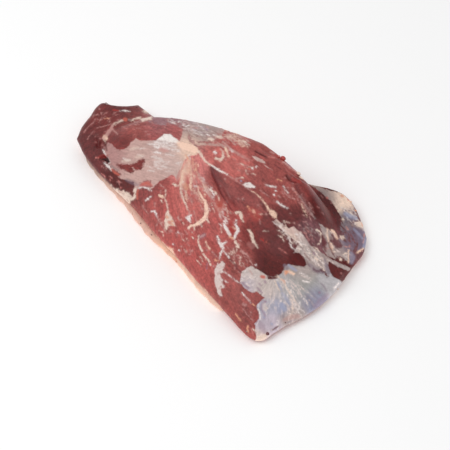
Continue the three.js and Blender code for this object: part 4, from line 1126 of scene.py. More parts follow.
def lay_webs(marks):
    """Fine strands that keep to the run of each web, thickest round its middle."""
    chance = np.random.default_rng(WEB_SEED)
    for web, middle, (along, across), turn, stray, count, names, lengths, widths in WEBS:
        for _ in range(int(count)):
            here = chance.normal(0, 0.5, 2) * (along, across)
            if turn == "fanned":
                place = np.array(middle) + here
                spoke = place - MEMBRANE_ROOT
                angle = math.atan2(spoke[0], spoke[1])
            else:
                way = math.radians(turn)
                place = middle + here[0] * np.array([math.sin(way), math.cos(way)])
                place = place + here[1] * np.array([math.cos(way), -math.sin(way)])
                angle = way
            angle += math.radians(stray) * chance.normal()
            reach = 0.5 * chance.uniform(*lengths) * np.array([math.sin(angle), math.cos(angle)])
            bend = 0.25 * chance.normal() * np.array([reach[1], -reach[0]])
            width = chance.uniform(*widths)
            name = chance.choice(names.split())
            line = np.array([place - reach, place + bend, place + reach])
            if web in AREA_OUTLINE and inside_area(line, AREA_OUTLINE[web]).min() < 0:
                continue
            if max(inside_area(line, outline).max() for _, outline in SKIN_GAPS) < -1:
                marks.streak(tone(name), strand(width), line)


def mark_from_photo(marks):
    for _, opacity, outline in SKIN_AREAS:
        marks.skin_area(opacity, outline)
    for _, outline in SKIN_GAPS:
        marks.skin_gap(outline)
    for _, name, outline in FAT_PATCHES:
        marks.fat_patch(tone(name), outline)
    for _, name, widths, line in STREAKS:
        marks.streak(tone(name), widths, line)
    for name, width, spots in DOTS:
        for x, y in spots:
            marks.streak(tone(name), (width, 0.7 * width), [(x - 0.3, y - 0.3), (x + 0.3, y + 0.4)])
    lay_webs(marks)
    for _, name, strength, widths, line, *depth in STAINS_AND_SHADE:
        marks.stain_line(tone(name), strength, widths, line, *depth)


def mark_out_of_sight(marks, points, normals, chosen, seed):
    """Streaks, patches of silverskin and stains for the sides that the photograph doesn't show."""
    chance = np.random.default_rng(seed)

    def some(kind):
        return chance.choice(np.flatnonzero(chosen), kind["count"])

    def stray(kind):
        return np.array([1, kind["stray"][0] * chance.normal(), kind["stray"][1] * chance.normal()])

    for start in some(FAR_STREAKS):
        normal = normals[start]
        way = stray(FAR_STREAKS)
        way -= normal * (way @ normal)
        way /= np.linalg.norm(way)
        bend = np.cross(normal, way) * chance.normal() * FAR_STREAKS["bend"]
        length = chance.uniform(*FAR_STREAKS["length"])
        line = [points[start] / PIXEL + way * length * share + bend * length * (share - 0.5) ** 2
                for share in (0, 0.3, 0.6, 1)]
        width = chance.uniform(*FAR_STREAKS["width"])
        marks.streak(tone(chance.choice(FAR_STREAKS["tones"])), strand(width), line)
    for start in some(FAR_SKIN):
        near = np.linalg.norm((points - points[start]) / PIXEL, axis=1)
        reach = chance.uniform(*FAR_SKIN["reach"])
        swirl = FAR_SKIN["wander"] * waves(FAR_SKIN["lengths"], points[:, 0] / MM,
                                           points[:, 2] / MM + 0.6 * points[:, 1] / MM)
        depth = np.clip(reach + swirl - near, -marks.REACH, marks.REACH)
        marks.skin = np.maximum(marks.skin, depth)
        veil = FAR_SKIN["veil"] * smoothstep(depth, -marks.SKIN_EDGE, marks.SKIN_EDGE)
        marks.veil = np.maximum(marks.veil, veil)
    for start in some(FAR_STAINS):
        way = stray(FAR_STAINS)
        here = points[start] / PIXEL
        colour = tone(chance.choice(FAR_STAINS["tones"]))
        marks.stain_line(colour, FAR_STAINS["strength"], FAR_STAINS["widths"],
                         [here, here + FAR_STAINS["length"] * way], FAR_STAINS["depth"])


def fibre_coordinates(pixels, points, seen):
    """Places across and along the fibres, and the number of the muscle that they belong to."""
    near_muscle = [NEAR_MUSCLE[key] for key in ("turn", "middle", "reach")]
    regions = [row[1:] for row in GRAIN] + [near_muscle]
    turns, middles, reaches = (np.array(column, float) for column in zip(*regions))
    nearest = np.argmin(np.linalg.norm(pixels[:, None] - middles[None], axis=2) / reaches, axis=1)
    turn = np.radians(turns)[nearest]
    offset = pixels - middles[nearest]
    across = offset[:, 0] * np.cos(turn) - offset[:, 1] * np.sin(turn)
    along = offset[:, 0] * np.sin(turn) + offset[:, 1] * np.cos(turn)

    muscle = nearest == len(GRAIN)
    base = math.radians(NEAR_MUSCLE["turn"])
    from_root = pixels - np.array(NEAR_MUSCLE["root"])
    down = from_root @ np.array([math.sin(base), math.cos(base)])
    sideways = from_root @ np.array([math.cos(base), -math.sin(base)])
    fanned = (sideways - NEAR_MUSCLE["bend"] * down ** 2) * np.exp(-NEAR_MUSCLE["spread"] * down)
    across, along = np.where(muscle, fanned, across), np.where(muscle, down, along)

    spoke = pixels - np.array(MEMBRANE_ROOT)
    membrane = inside_area(pixels, AREA_OUTLINE["membrane"]) > 0
    across = np.where(membrane, MEMBRANE_FAN * np.arctan2(spoke[:, 0], spoke[:, 1]), across)
    along = np.where(membrane, np.hypot(spoke[:, 0], spoke[:, 1]), along)

    across = np.where(seen, across, (points[:, 2] - FAR_FIBRES_DEPTH * points[:, 1]) / PIXEL)
    along = np.where(seen, along, points[:, 0] / PIXEL)
    region = np.where(seen, np.where(membrane, len(GRAIN) + 1, nearest), len(GRAIN) + 2)
    return np.column_stack([across, along, region])


# ---- Meshes ----

def once_round(near, far, across):
    """Pairs once round the outline from the near edge's narrow end, from what stands along each side."""
    pairs = ([(a, across[0]) for a in near[:-1]] + [(near[-1], b) for b in across[:-1]]
             + [(a, across[-1]) for a in far[:0:-1]] + [(far[0], b) for b in across[:0:-1]])
    return np.array(pairs).T


def band_faces(count, upper, lower):
    return [(upper + i, lower + i, lower + (i + 1) % count, upper + (i + 1) % count) for i in range(count)]


def floor_face(count, first):
    """One face over a ring of points, which looks down."""
    return tuple(range(first, first + count))[::-1]


def make_mesh(name, points, faces):
    mesh = bpy.data.meshes.new(name)
    mesh.from_pydata(points.tolist(), [], faces)
    mesh.validate()
    mesh.polygons.foreach_set("use_smooth", [True] * len(mesh.polygons))
    mesh.update()
    piece = bpy.data.objects.new(name, mesh)
    bpy.context.scene.collection.objects.link(piece)
    return piece


def place_of(piece):
    """The points of a piece and their normals."""
    points, normals = np.empty((2, 3 * len(piece.data.vertices)))
    piece.data.vertices.foreach_get("co", points)
    piece.data.vertices.foreach_get("normal", normals)
    return points.reshape(-1, 3), normals.reshape(-1, 3)


def store(piece, name, values):
    """Puts values on the vertices: one number each, a direction of three, or a colour of four."""
    values = np.asarray(values, float)
    kind, field = {1: ("FLOAT", "value"), 3: ("FLOAT_VECTOR", "vector"), 4: ("FLOAT_COLOR", "color")}[
        values.shape[1] if values.ndim > 1 else 1]
    piece.data.attributes.new(name, kind, "POINT").data.foreach_set(field, values.ravel())


def with_alpha(colours, alpha=1):
    return np.column_stack([colours, np.broadcast_to(alpha, len(colours))])


def seen_by_eye(points, normals, tree):
    """How well the photograph shows every place: nothing where it's turned away or covered."""
    to_eye = EYE - points
    to_eye /= np.linalg.norm(to_eye, axis=1, keepdims=True)
    facing = np.sum(normals * to_eye, axis=1)
    shown = smoothstep(facing, FACING["from"], FACING["to"])
    for i in np.flatnonzero(facing > FACING["tested"]):
        start = Vector(points[i] + CLEAR["outward"] * normals[i] + CLEAR["to_eye"] * to_eye[i])
        if tree.ray_cast(start, Vector(to_eye[i]))[0] is not None:
            shown[i] = 0
    return shown


def shift_of_frame():
    """From the outline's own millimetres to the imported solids' place."""
    low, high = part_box("lean")
    outline = plan(*once_round(spread(80, 0), spread(80, 0), spread(40, 0)))
    middle = 0.5 * (outline.min(axis=0) + outline.max(axis=0)) * MM
    return np.array([(low.x + high.x) / 2 - middle[0], (low.y + high.y) / 2 - middle[1], low.z])


def in_frame(points):
    return points * MM + shift_of_frame()


def lean_mesh():
    """The top as a grid, the side in bands below its rim, and the underside with room for the fat cap."""
    along, across = (spread(count, crowding) for count, crowding in zip(LEAN_GRID, LEAN_CROWDING))
    rows = len(across)
    points = [top_surface(*np.meshgrid(along, across, indexing="ij")).reshape(-1, 3)]
    faces = [(i * rows + j, (i + 1) * rows + j, (i + 1) * rows + j + 1, i * rows + j + 1)
             for i in range(LEAN_GRID[0]) for j in range(LEAN_GRID[1])]

    u, v = once_round(along, along, across)
    i, j = once_round(range(len(along)), range(len(along)), range(rows))
    rim = (i * rows + j).tolist()
    count, start = len(rim), len(points[0])
    floor = (FAT["thickness"] + CAP_CLEARANCE) * fat_shows(u, v)
    turns = 0.5 * np.pi * np.arange(1, SIDE_BANDS + 1) / SIDE_BANDS
    rings = [(UNDER_ROLL * (1 - np.cos(turn)), widest_height(u) * (1 - np.sin(turn))) for turn in turns]
    rings += [(UNDER_ROLL + FOOT_IN, 0.0), (UNDER_ROLL + ROOM_IN, FAT["thickness"])]
    for inset, height in rings:
        points.append(np.column_stack([plan_inset(u, v, inset), np.maximum(height, floor)]))
    faces += [(rim[k], start + k, start + (k + 1) % count, rim[(k + 1) % count]) for k in range(count)]
    for band in range(len(rings) - 1):
        faces += band_faces(count, start + band * count, start + (band + 1) * count)
    faces.append(floor_face(count, start + (len(rings) - 1) * count))
    return in_frame(np.vstack(points)), faces


def cap_ring():
    near, far, end = (spread(count, 0) for count in FAT_RING)
    return once_round(near, far, end)


def fat_mesh():
    """Rings of the cap's profile, one above the other, standing out where the cap shows."""
    u, v = cap_ring()
    outline = plan(u, v)
    way = np.roll(outline, -1, axis=0) - np.roll(outline, 1, axis=0)
    way /= np.linalg.norm(way, axis=1, keepdims=True)
    outward = np.column_stack([way[:, 1], -way[:, 0]])
    out = fat_shows(u, v)[:, None]
    uneven = CAP_UNEVEN["height"] * waves(CAP_UNEVEN["lengths"], outline[:, 0], outline[:, 1])
    reach = smooth_curve(FAT["reach_at"], FAT["reach"])(u)
    rings = []
    for height, inset in FAT["profile"]:
        hidden = plan_inset(u, v, FAT["inset"] + inset)
        standing = outline + outward * (reach + uneven - inset)[:, None]
        place = hidden * (1 - out) + standing * out
        rings.append(np.column_stack([place, np.full(len(place), float(height))]))
    count = len(u)
    faces = [floor_face(count, 0)]
    for band in range(len(rings) - 1):
        faces += band_faces(count, (band + 1) * count, band * count)
    faces.append(floor_face(count, (len(rings) - 1) * count)[::-1])
    return in_frame(np.vstack(rings)), faces


# ---- Node trees ----

class Nodes:
    """A node tree that is filled node by node."""

    def __init__(self, tree):
        self.tree = tree
        tree.nodes.clear()

    def add(self, kind, inputs=None, **settings):
        node = self.tree.nodes.new(kind)
        for name, value in settings.items():
            setattr(node, name, value)
        for place, value in (inputs or {}).items():
            if isinstance(value, bpy.types.NodeSocket):
                self.tree.links.new(value, node.inputs[place])
            else:
                node.inputs[place].default_value = value
        return node

    def math(self, operation, *values, clamp=False):
        node = self.add("ShaderNodeMath", dict(enumerate(values)), operation=operation)
        node.use_clamp = clamp
        return node.outputs[0]

    def plus(self, first, second):
        return self.math("ADD", first, second)

    def times(self, first, second, clamp=False):
        return self.math("MULTIPLY", first, second, clamp=clamp)

    def times_plus(self, first, second, third):
        return self.math("MULTIPLY_ADD", first, second, third)

    def centred(self, noise):
        """A noise about nothing: as often below it as above."""
        return self.math("SUBTRACT", noise, 0.5)

    def ramp(self, value, low, high, start=0.0, end=1.0):
        inputs = {"Value": value, "From Min": low, "From Max": high, "To Min": start, "To Max": end}
        return self.add("ShaderNodeMapRange", inputs, interpolation_type="SMOOTHSTEP").outputs[0]

    def vary(self, noise, low, high):
        """A factor between low and high that follows a noise."""
        return self.ramp(noise, 0.3, 0.7, low, high)

    def noise(self, place, scale, detail=3.0, roughness=0.5, distortion=0.0):
        inputs = {"Vector": place, "Scale": scale, "Detail": detail, "Roughness": roughness,
                  "Distortion": distortion}
        return self.add("ShaderNodeTexNoise", inputs).outputs[0]

    def mix(self, share, first, second, blend="MIX"):
        node = self.add("ShaderNodeMix", {0: share, 6: first, 7: second}, data_type="RGBA", blend_type=blend)
        return node.outputs[2]

    def scaled(self, place, factors):
        return self.add("ShaderNodeVectorMath", {0: place, 1: factors}, operation="MULTIPLY").outputs[0]


# The fibres' pattern: how far it is drawn out along them, and how far apart its parts for two muscles are.
FIBRE_STRETCH = 0.06
MUSCLES_APART = 7.3


def sizes_in(settings):
    """The sizes in a group of settings, in the order of the panel."""
    fields = [settings.bl_rna.properties[name] for name in settings.__annotations__]
    return [field for field in fields if field.type == "FLOAT"]


def shape_tree(name, settings):
    """A geometry tree with an input for each size in the settings and one for its material."""
    tree = bpy.data.node_groups.new(name, "GeometryNodeTree")
    tree.interface.new_socket("Geometry", in_out="INPUT", socket_type="NodeSocketGeometry")
    for size in sizes_in(settings):
        socket = tree.interface.new_socket(size.name, in_out="INPUT", socket_type="NodeSocketFloat")
        socket.description, socket.default_value = size.description, size.default
    tree.interface.new_socket("Material", in_out="INPUT", socket_type="NodeSocketMaterial")
    tree.interface.new_socket("Geometry", in_out="OUTPUT", socket_type="NodeSocketGeometry")
    nodes = Nodes(tree)
    return tree, nodes, nodes.add("NodeGroupInput").outputs


def named(nodes, attribute, kind="FLOAT"):
    return nodes.add("GeometryNodeInputNamedAttribute", {"Name": attribute}, data_type=kind).outputs[0]


def realized(nodes, geometry):
    return nodes.add("GeometryNodeRealizeInstances", {"Geometry": geometry}).outputs[0]


def end_pushed_out(nodes, geometry, height, material):
    """Ends a tree: the surface is pushed out along its normals and given its material."""
    normal = nodes.add("GeometryNodeInputNormal").outputs[0]
    offset = nodes.add("ShaderNodeVectorMath", {0: normal, "Scale": height}, operation="SCALE").outputs[0]
    moved = nodes.add("GeometryNodeSetPosition", {"Geometry": geometry, "Offset": offset}).outputs[0]
    dressed = nodes.add("GeometryNodeSetMaterial", {"Geometry": realized(nodes, moved), "Material": material})
    nodes.add("NodeGroupOutput", {0: dressed.outputs[0]})


def grow(piece, tree, settings, material):
    """Runs a geometry tree on a piece once and keeps what it makes as a plain mesh."""
    values = {size.name: getattr(settings, size.identifier) for size in sizes_in(settings)}
    values["Material"] = material
    modifier = piece.modifiers.new(tree.name, "NODES")
    modifier.node_group = tree
    for socket in tree.interface.items_tree:
        if socket.in_out == "INPUT" and socket.name in values:
            modifier[socket.identifier] = values[socket.name]
    piece.update_tag()
    finished = piece.evaluated_get(bpy.context.evaluated_depsgraph_get())
    mesh = bpy.data.meshes.new_from_object(finished)
    mesh.name = piece.name
    piece.modifiers.remove(modifier)
    piece.data = mesh
    mesh.polygons.foreach_set("use_smooth", [True] * len(mesh.polygons))


def on_body(piece, node):
    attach(piece, BODY)
    if node:
        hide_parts(node)


def relief_tree(settings):
    tree, nodes, given = shape_tree("Lean relief", settings)
    grain = named(nodes, "grain", "FLOAT_VECTOR")
    parts = nodes.add("ShaderNodeSeparateXYZ", {0: grain}).outputs
    across = nodes.math("DIVIDE", parts[0], given["Fibre spacing"])
    bundle = nodes.add("ShaderNodeCombineXYZ", {
        0: across, 1: nodes.times(parts[1], FIBRE_STRETCH), 2: nodes.times(parts[2], MUSCLES_APART)})
    fibres = nodes.noise(bundle.outputs[0], 0.8, 3.0, 0.55)
    place = nodes.add("GeometryNodeInputPosition").outputs[0]
    wander = nodes.times(nodes.centred(nodes.noise(place, 420.0, 2.0)), given["Raggedness"])
    fat = nodes.ramp(nodes.plus(named(nodes, "fat"), wander), -0.5, 0.8)
    skin = nodes.times(nodes.ramp(named(nodes, "skin"), -1.2, 1.0), named(nodes, "veil"))
    bare = nodes.math("SUBTRACT", 1.0, nodes.times(skin, 0.45))
    height = nodes.times(fat, given["Streak height"])
    height = nodes.times_plus(skin, given["Silverskin thickness"], height)
    ridges = nodes.times(nodes.centred(fibres), bare)
    height = nodes.times_plus(ridges, nodes.times(given["Fibre height"], 2.0), height)
    lumps = nodes.centred(nodes.noise(place, 90.0, 3.0))
    height = nodes.times_plus(lumps, given["Lumps"], height)
    cut = nodes.times(nodes.times(named(nodes, "cut"), given["Cut scale"]), -MM)
    end_pushed_out(nodes, given["Geometry"], nodes.plus(height, cut), given["Material"])
    return tree


def lump_tree(settings):
    tree, nodes, given = shape_tree("Fat lumps", settings)
    place = nodes.add("GeometryNodeInputPosition").outputs[0]
    wide = nodes.centred(nodes.noise(place, given["Lump spacing"], 2.0))
    fine = nodes.centred(nodes.noise(place, 480.0, 2.0))
    height = nodes.times_plus(fine, given["Nub height"], nodes.times(wide, given["Lump height"]))
    height = nodes.times(height, named(nodes, "shown"))
    end_pushed_out(nodes, given["Geometry"], height, given["Material"])
    return tree


def shred_tree(settings):
    tree, nodes, given = shape_tree("Shreds on points", settings)
    ball = nodes.add("GeometryNodeMeshIcoSphere", {"Radius": 1.0, "Subdivisions": 3}).outputs[0]
    size = named(nodes, "size", "FLOAT_VECTOR")
    put = nodes.add("GeometryNodeInstanceOnPoints", {
        "Points": given["Geometry"], "Instance": ball, "Scale": size}).outputs[0]
    place = nodes.add("GeometryNodeInputPosition").outputs[0]
    bumps = nodes.times(nodes.centred(nodes.noise(place, 420.0, 2.0)), given["Roughness"])
    end_pushed_out(nodes, realized(nodes, put), bumps, given["Material"])
    return tree


# ---- Materials ----

def new_material(name):
    material = bpy.data.materials.new(name)
    material.use_nodes = True
    nodes = Nodes(material.node_tree)
    surface = nodes.add("ShaderNodeBsdfPrincipled")
    nodes.add("ShaderNodeOutputMaterial", {"Surface": surface.outputs[0]})
    return material, nodes, surface


def finish(nodes, surface, base, specular, height, strength, depth):
    """Gives a surface its colour, its gloss and its fine bumps."""
    nodes.tree.links.new(base, surface.inputs["Base Color"])
    surface.inputs["Specular IOR Level"].default_value = specular
    bump = nodes.add("ShaderNodeBump", {"Height": height, "Strength": strength, "Distance": depth})
    nodes.tree.links.new(bump.outputs[0], surface.inputs["Normal"])


def painted(nodes, attribute, output="Color"):
    node = nodes.add("ShaderNodeAttribute", attribute_type="GEOMETRY", attribute_name=attribute)
    return node.outputs[output]


def lean_material():
    material, nodes, surface = new_material("Moist lean with silverskin")
    place = nodes.add("ShaderNodeTexCoord").outputs["Object"]
    grain = painted(nodes, "grain", "Vector")
    fibres = nodes.noise(nodes.scaled(grain, (0.3, 0.06, 3.1)), 1.0, 5.0, 0.62, 0.5)
    strands = nodes.noise(nodes.scaled(grain, (1.5, 0.22, 5.7)), 1.0, 3.0, 0.6, 0.3)
    web = nodes.noise(nodes.scaled(grain, (0.5, 0.11, 2.3)), 1.0, 5.0, 0.68, 0.6)
    blotch = nodes.noise(place, 120.0, 4.0, 0.6)
    mottle = nodes.noise(place, 320.0, 3.0, 0.65)
    speck = nodes.noise(place, 850.0, 2.0, 0.6)

    shade = nodes.plus(nodes.vary(fibres, 0.82, 1.18), nodes.vary(strands, -0.13, 0.13))
    shade = nodes.plus(shade, nodes.vary(mottle, -0.16, 0.16))
    shade = nodes.times(nodes.times(shade, nodes.vary(blotch, 0.88, 1.12)), nodes.vary(speck, 0.88, 1.12))
    lean = nodes.scaled(painted(nodes, "lean_tone"), shade)
    # Pale pink flecks along the strands: partly specks of fat, partly painted glints of the moist surface.
    grains_and_glints = nodes.times(nodes.ramp(speck, 0.58, 0.74), nodes.ramp(strands, 0.4, 0.65))
    lean = nodes.mix(nodes.times(grains_and_glints, 0.3), lean, (*tone("pink"), 1))

    sheen = nodes.times(nodes.ramp(web, 0.32, 0.68, 0.86, 1.12), nodes.vary(mottle, 0.93, 1.07))
    skin_tone = nodes.scaled(painted(nodes, "skin_tone"), sheen)
    wisps = nodes.times_plus(nodes.centred(mottle), 4.0, nodes.times(nodes.centred(strands), 5.0))
    ragged = nodes.plus(painted(nodes, "skin", "Fac"), wisps)
    veil = painted(nodes, "veil", "Fac")
    strings = nodes.math("SUBTRACT", web, nodes.times_plus(veil, -0.55, 0.8))
    cover = nodes.times(nodes.ramp(strings, -0.06, 0.08), nodes.times_plus(veil, 0.5, 0.5))
    skin = nodes.times(nodes.ramp(ragged, -1.3, 1.2), cover)
    base = nodes.mix(skin, lean, skin_tone)

    crumbs = nodes.times_plus(nodes.centred(mottle), 3.2, painted(nodes, "fat", "Fac"))
    crumbs = nodes.times_plus(nodes.centred(strands), 2.2, crumbs)
    core, halo = nodes.ramp(crumbs, -0.5, 0.9), nodes.ramp(crumbs, -1.6, 0.6)
    fat = nodes.plus(nodes.times(core, 0.8), nodes.times(halo, 0.22))
    broken = nodes.ramp(nodes.noise(place, 260.0, 3.0, 0.6), 0.3, 0.55, 0.6, 1.0)
    fat_tone = nodes.scaled(painted(nodes, "fat_tone"), nodes.ramp(speck, 0.25, 0.75, 0.92, 1.14))
    base = nodes.mix(nodes.times(fat, broken, clamp=True), base, fat_tone)

    patchy = nodes.ramp(mottle, 0.25, 0.6, 0.7, 1.0)
    # Stains and painted shade laid over the lean.
    stained = nodes.times(painted(nodes, "stain", "Alpha"), patchy, clamp=True)
    base = nodes.mix(stained, base, painted(nodes, "stain"))

    rough = nodes.times_plus(skin, 0.05, nodes.vary(speck, 0.38, 0.52))
    nodes.tree.links.new(rough, surface.inputs["Roughness"])
    height = nodes.times_plus(strands, 0.8, nodes.times(mottle, 0.8))
    finish(nodes, surface, base, 0.28, height, 0.5, 0.8 * MM)
    return material


def fat_material():
    material, nodes, surface = new_material("Waxy fat")
    place = nodes.add("ShaderNodeTexCoord").outputs["Object"]
    blotch = nodes.noise(place, 95.0, 4.0, 0.6)
    speck = nodes.noise(place, 600.0, 2.0, 0.6)
    shade = nodes.times(nodes.vary(blotch, 0.9, 1.08), nodes.vary(speck, 0.95, 1.05))
    base = nodes.scaled(painted(nodes, "fat_tone"), shade)
    warm = nodes.ramp(nodes.noise(place, 160.0, 3.0, 0.6), 0.6, 0.74)
    base = nodes.mix(nodes.times(warm, 0.3), base, (*tone("orange"), 1))
    base = nodes.mix(painted(nodes, "stain", "Alpha"), base, painted(nodes, "stain"))
    surface.inputs["Roughness"].default_value = 0.5
    finish(nodes, surface, base, 0.3, speck, 0.2, 0.4 * MM)
    return material


def shred_material():
    material, nodes, surface = new_material("Loose shreds")
    place = nodes.add("ShaderNodeTexCoord").outputs["Object"]
    shade = nodes.vary(nodes.noise(place, 500.0, 3.0, 0.6), 0.86, 1.1)
    nodes.tree.links.new(nodes.scaled(painted(nodes, "tone"), shade), surface.inputs["Base Color"])
    surface.inputs["Roughness"].default_value = 0.45
    return material


def floor_material(shade):
    material, _, surface = new_material("Pale floor")
    surface.inputs["Base Color"].default_value = (shade, shade, shade, 1)
    surface.inputs["Roughness"].default_value = 0.9
    surface.inputs["Specular IOR Level"].default_value = 0.0
    return material


# ---- The add-on ----

def number(name, about, default, low, high, unit="NONE"):
    return bpy.props.FloatProperty(name=name, description=about, default=default, min=low, max=high,
                                   unit=unit, precision=5)


class LeanSettings(bpy.types.PropertyGroup):
    streak_height: number("Streak height", "How far streaks of fat stand up", 0.5 * MM, 0, 0.003, "LENGTH")
    skin_thickness: number("Silverskin thickness", "How far silverskin stands up", 0.25 * MM, 0, 0.002,
                           "LENGTH")
    fibre_height: number("Fibre height", "How far the bundles of fibres stand up", 0.3 * MM, 0, 0.002,
                         "LENGTH")
    fibre_spacing: number("Fibre spacing", "From one bundle of fibres to the next, in pixels", 1.6, 0.5, 8)
    cut_scale: number("Cut scale", "How deep the marked cuts are", 1.0, 0, 2)
    raggedness: number("Raggedness", "How far the edges of the fat wander", 0.8, 0, 3)
    lumps: number("Lumps", "How uneven the whole surface is", 0.6 * MM, 0, 0.003, "LENGTH")
    seed: bpy.props.IntProperty(name="Seed", description="Places the marks that the photograph doesn't show",
                                default=7, min=0)


class FatSettings(bpy.types.PropertyGroup):
    lump_height: number("Lump height", "How far the wide lumps stand out", 2.2 * MM, 0, 0.005, "LENGTH")
    lump_spacing: number("Lump spacing", "How close the wide lumps stand", 110, 10, 400)
    nub_height: number("Nub height", "How far the small nubs stand out", 0.7 * MM, 0, 0.003, "LENGTH")


class ShredSettings(bpy.types.PropertyGroup):
    roughness: number("Roughness", "How far each shred is from round", 0.9 * MM, 0, 0.003, "LENGTH")


class StageSettings(bpy.types.PropertyGroup):
    floor_reach: number("Floor reach", "From the middle of the floor to its sides", 6, 1, 20, "LENGTH")
    floor_shade: number("Floor shade", "How pale the floor is", 0.95, 0, 1)
    sky_strength: number("Sky strength", "How bright the even light from all round is", 0.78, 0, 5)
    lamp_power: number("Lamp power", "The power of the soft lamp above", 14, 0, 200, "POWER")
    lamp_size: number("Lamp size", "The side of the soft lamp", 1.4, 0.1, 5, "LENGTH")
    lens: number("Lens", "The focal length of the camera, in millimetres",
                 PHOTO["focal"] / PHOTO["side"] * SENSOR, 20, 300)
    distance: number("Distance", "From the camera to the middle of the view", PHOTO["distance"], 0.5, 5,
                     "LENGTH")


class FLAT_OT_lean(bpy.types.Operator):
    """Makes the lean with its silverskin, streaks of fat, stains and cuts"""

    bl_idname = "flat.lean"
    bl_label = "Lean"

    def execute(self, context):
        settings = context.scene.flat_lean
        points, faces = lean_mesh()
        lean = make_mesh("Lean", points, faces)
        points, normals = place_of(lean)
        tree = BVHTree.FromPolygons(points.tolist(), faces)
        shown = seen_by_eye(points, normals, tree)
        seen = shown > 0.02
        pixels = in_photo(points)
        pixels[~seen] = OFF_PHOTO

        marks = Marks(pixels)
        mark_from_photo(marks)
        hidden = Marks(points / PIXEL)
        mark_out_of_sight(hidden, points, normals, shown < 0.5, settings.seed)

        def blended(here, away):
            weight = shown[:, None] if here.ndim > 1 else shown
            return here * weight + away * (1 - weight)

        cloud = 0.5 + 0.5 * waves(FAR_CLOUDS, points[:, 0] / MM, (points[:, 1] + 1.6 * points[:, 2]) / MM)
        low = 0.5 * smoothstep(points[:, 2], 0.02, 0.0)
        far_lean = between("far lean", "far pale lean", cloud)
        far_lean += (tone("far low lean") - far_lean) * low[:, None]
        far_skin = between("far skin", "far pale skin", cloud)
        tones = {"lean_tone": blended(soft_spots(pixels, LEAN_SPOTS), far_lean),
                 "skin_tone": blended(soft_spots(pixels, SKIN_SPOTS), far_skin),
                 "fat_tone": blended(marks.fat_tone(), hidden.fat_tone())}
        for name, colours in tones.items():
            store(lean, name, with_alpha(without_light(colours, normals)))
        for name in ("skin", "veil", "fat", "cut"):
            store(lean, name, blended(getattr(marks, name), getattr(hidden, name)))
        # The stains and the painted shade go on the lean together.
        stain = without_light(blended(marks.stain, hidden.stain), normals)
        store(lean, "stain", with_alpha(stain, blended(marks.strength, hidden.strength)))
        store(lean, "grain", fibre_coordinates(pixels, points, seen))
        grow(lean, relief_tree(settings), settings, lean_material())
        on_body(lean, "lean")
        return {"FINISHED"}


class FLAT_OT_fat_cap(bpy.types.Operator):
    """Makes the fat cap that shows below the near edge"""

    bl_idname = "flat.fat_cap"
    bl_label = "Fat Cap"

    def execute(self, context):
        settings = context.scene.flat_fat
        points, faces = fat_mesh()
        cap = make_mesh("FatCap", points, faces)
        points, normals = place_of(cap)
        pixels = in_photo(points)
        store(cap, "fat_tone", with_alpha(without_light(soft_spots(pixels, FAT_CAP_SPOTS), normals)))
        marks = Marks(pixels)
        for name, colour, strength, widths, line, *_ in STAINS_AND_SHADE:
            if "rim" in name:
                marks.stain_line(tone(colour), strength, widths, line)
        store(cap, "stain", with_alpha(without_light(marks.stain, normals), marks.strength))
        out = fat_shows(*cap_ring())
        shown = np.tile(out, len(FAT["profile"]))
        shown[:2 * len(out)] = 0
        store(cap, "shown", shown)
        grow(cap, lump_tree(settings), settings, fat_material())
        on_body(cap, "fat_cap")
        return {"FINISHED"}


class FLAT_OT_shreds(bpy.types.Operator):
    """Makes the loose knobs and tags that stand up from the surface"""

    bl_idname = "flat.shreds"
    bl_label = "Shreds"

    def execute(self, context):
        settings = context.scene.flat_shreds
        pieces = zip(*[place_of(context.scene.objects[name]) for name in ("Lean", "FatCap")])
        points, normals = map(np.vstack, pieces)
        facing = np.flatnonzero(normals @ BACK > 0)
        pixels, depth = in_photo(points[facing]), (EYE - points[facing]) @ BACK
        places, sizes, tones = [], [], []
        for _, name, pixel, (length, width), lift in SHREDS:
            away = np.linalg.norm(pixels - np.array(pixel), axis=1)
            nearest = facing[np.argmin(np.where(away < away.min() + 0.8, depth, np.inf))]
            places.append(points[nearest] + normals[nearest] * lift * MM)
            sizes.append(PIXEL * np.array([length, width, SHRED_DEPTH * width]) / 2)
            tones.append(tone(name))
        shreds = make_mesh("Shreds", np.array(places), [])
        store(shreds, "size", sizes)
        store(shreds, "tone", with_alpha(tones))
        grow(shreds, shred_tree(settings), settings, shred_material())
        on_body(shreds, None)
        return {"FINISHED"}


def aimed(data, offset):
    """A lamp or camera that stands off the middle of the view and looks at it."""
    seat = bpy.data.objects.new(data.name, data)
    seat.location = Vector(PHOTO_TARGET) + Vector(offset)
    seat.rotation_euler = (-Vector(offset)).to_track_quat("-Z", "Y").to_euler()
    bpy.context.scene.collection.objects.link(seat)
    return seat


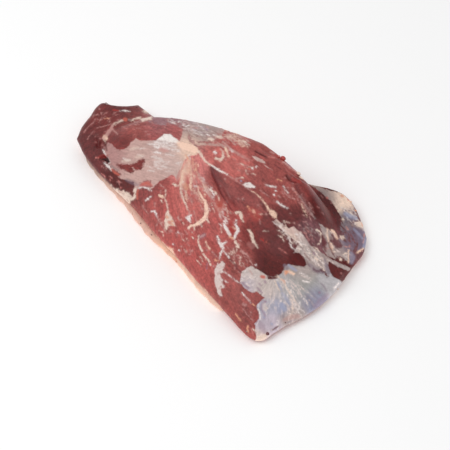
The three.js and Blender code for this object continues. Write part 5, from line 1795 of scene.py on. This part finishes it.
class FLAT_OT_stage(bpy.types.Operator):
    """Makes the pale floor, the soft light and the camera"""

    bl_idname = "flat.stage"
    bl_label = "Stage"

    def execute(self, context):
        settings = context.scene.flat_stage
        scene = context.scene
        side = settings.floor_reach
        corners = np.array([(-side, -side, 0), (side, -side, 0), (side, side, 0), (-side, side, 0)])
        floor = make_mesh("Floor", corners, [(0, 1, 2, 3)])
        floor.data.materials.append(floor_material(settings.floor_shade))

        world = bpy.data.worlds.new("Even light")
        world.use_nodes = True
        sky = world.node_tree.nodes["Background"].inputs
        sky["Color"].default_value = (1, 1, 1, 1)
        sky["Strength"].default_value = settings.sky_strength
        scene.world = world

        lamp_data = bpy.data.lights.new("Soft lamp", "AREA")
        lamp_data.energy = settings.lamp_power
        lamp_data.size = settings.lamp_size
        aimed(lamp_data, LAMP_PLACE)

        camera_data = bpy.data.cameras.new("Camera")
        camera_data.sensor_width = SENSOR
        camera_data.lens = settings.lens
        scene.camera = aimed(camera_data, BACK * settings.distance)
        scene.view_settings.view_transform = "Standard"
        return {"FINISHED"}


class FLAT_PT_panel(bpy.types.Panel):
    """Lists the steps that build the outside flat"""

    bl_idname = "FLAT_PT_panel"
    bl_label = "Outside Flat"
    bl_space_type = "VIEW_3D"
    bl_region_type = "UI"
    bl_category = "Outside Flat"

    def draw(self, context):
        for step, settings in zip(STEPS, SETTINGS):
            self.layout.operator(step.bl_idname)
            group = getattr(context.scene, settings)
            for name in group.__annotations__:
                self.layout.prop(group, name)


STEPS = [FLAT_OT_lean, FLAT_OT_fat_cap, FLAT_OT_shreds, FLAT_OT_stage]
SETTINGS = {"flat_lean": LeanSettings, "flat_fat": FatSettings, "flat_shreds": ShredSettings,
            "flat_stage": StageSettings}
CLASSES = [*SETTINGS.values(), *STEPS, FLAT_PT_panel]


def register():
    for kind in CLASSES:
        bpy.utils.register_class(kind)
    for name, kind in SETTINGS.items():
        setattr(bpy.types.Scene, name, bpy.props.PointerProperty(type=kind))


def unregister():
    for name in SETTINGS:
        delattr(bpy.types.Scene, name)
    for kind in reversed(CLASSES):
        bpy.utils.unregister_class(kind)


def main():
    register()
    bpy.ops.flat.lean()
    bpy.ops.flat.fat_cap()
    bpy.ops.flat.shreds()
    bpy.ops.flat.stage()


if __name__ == "__main__":
    main()
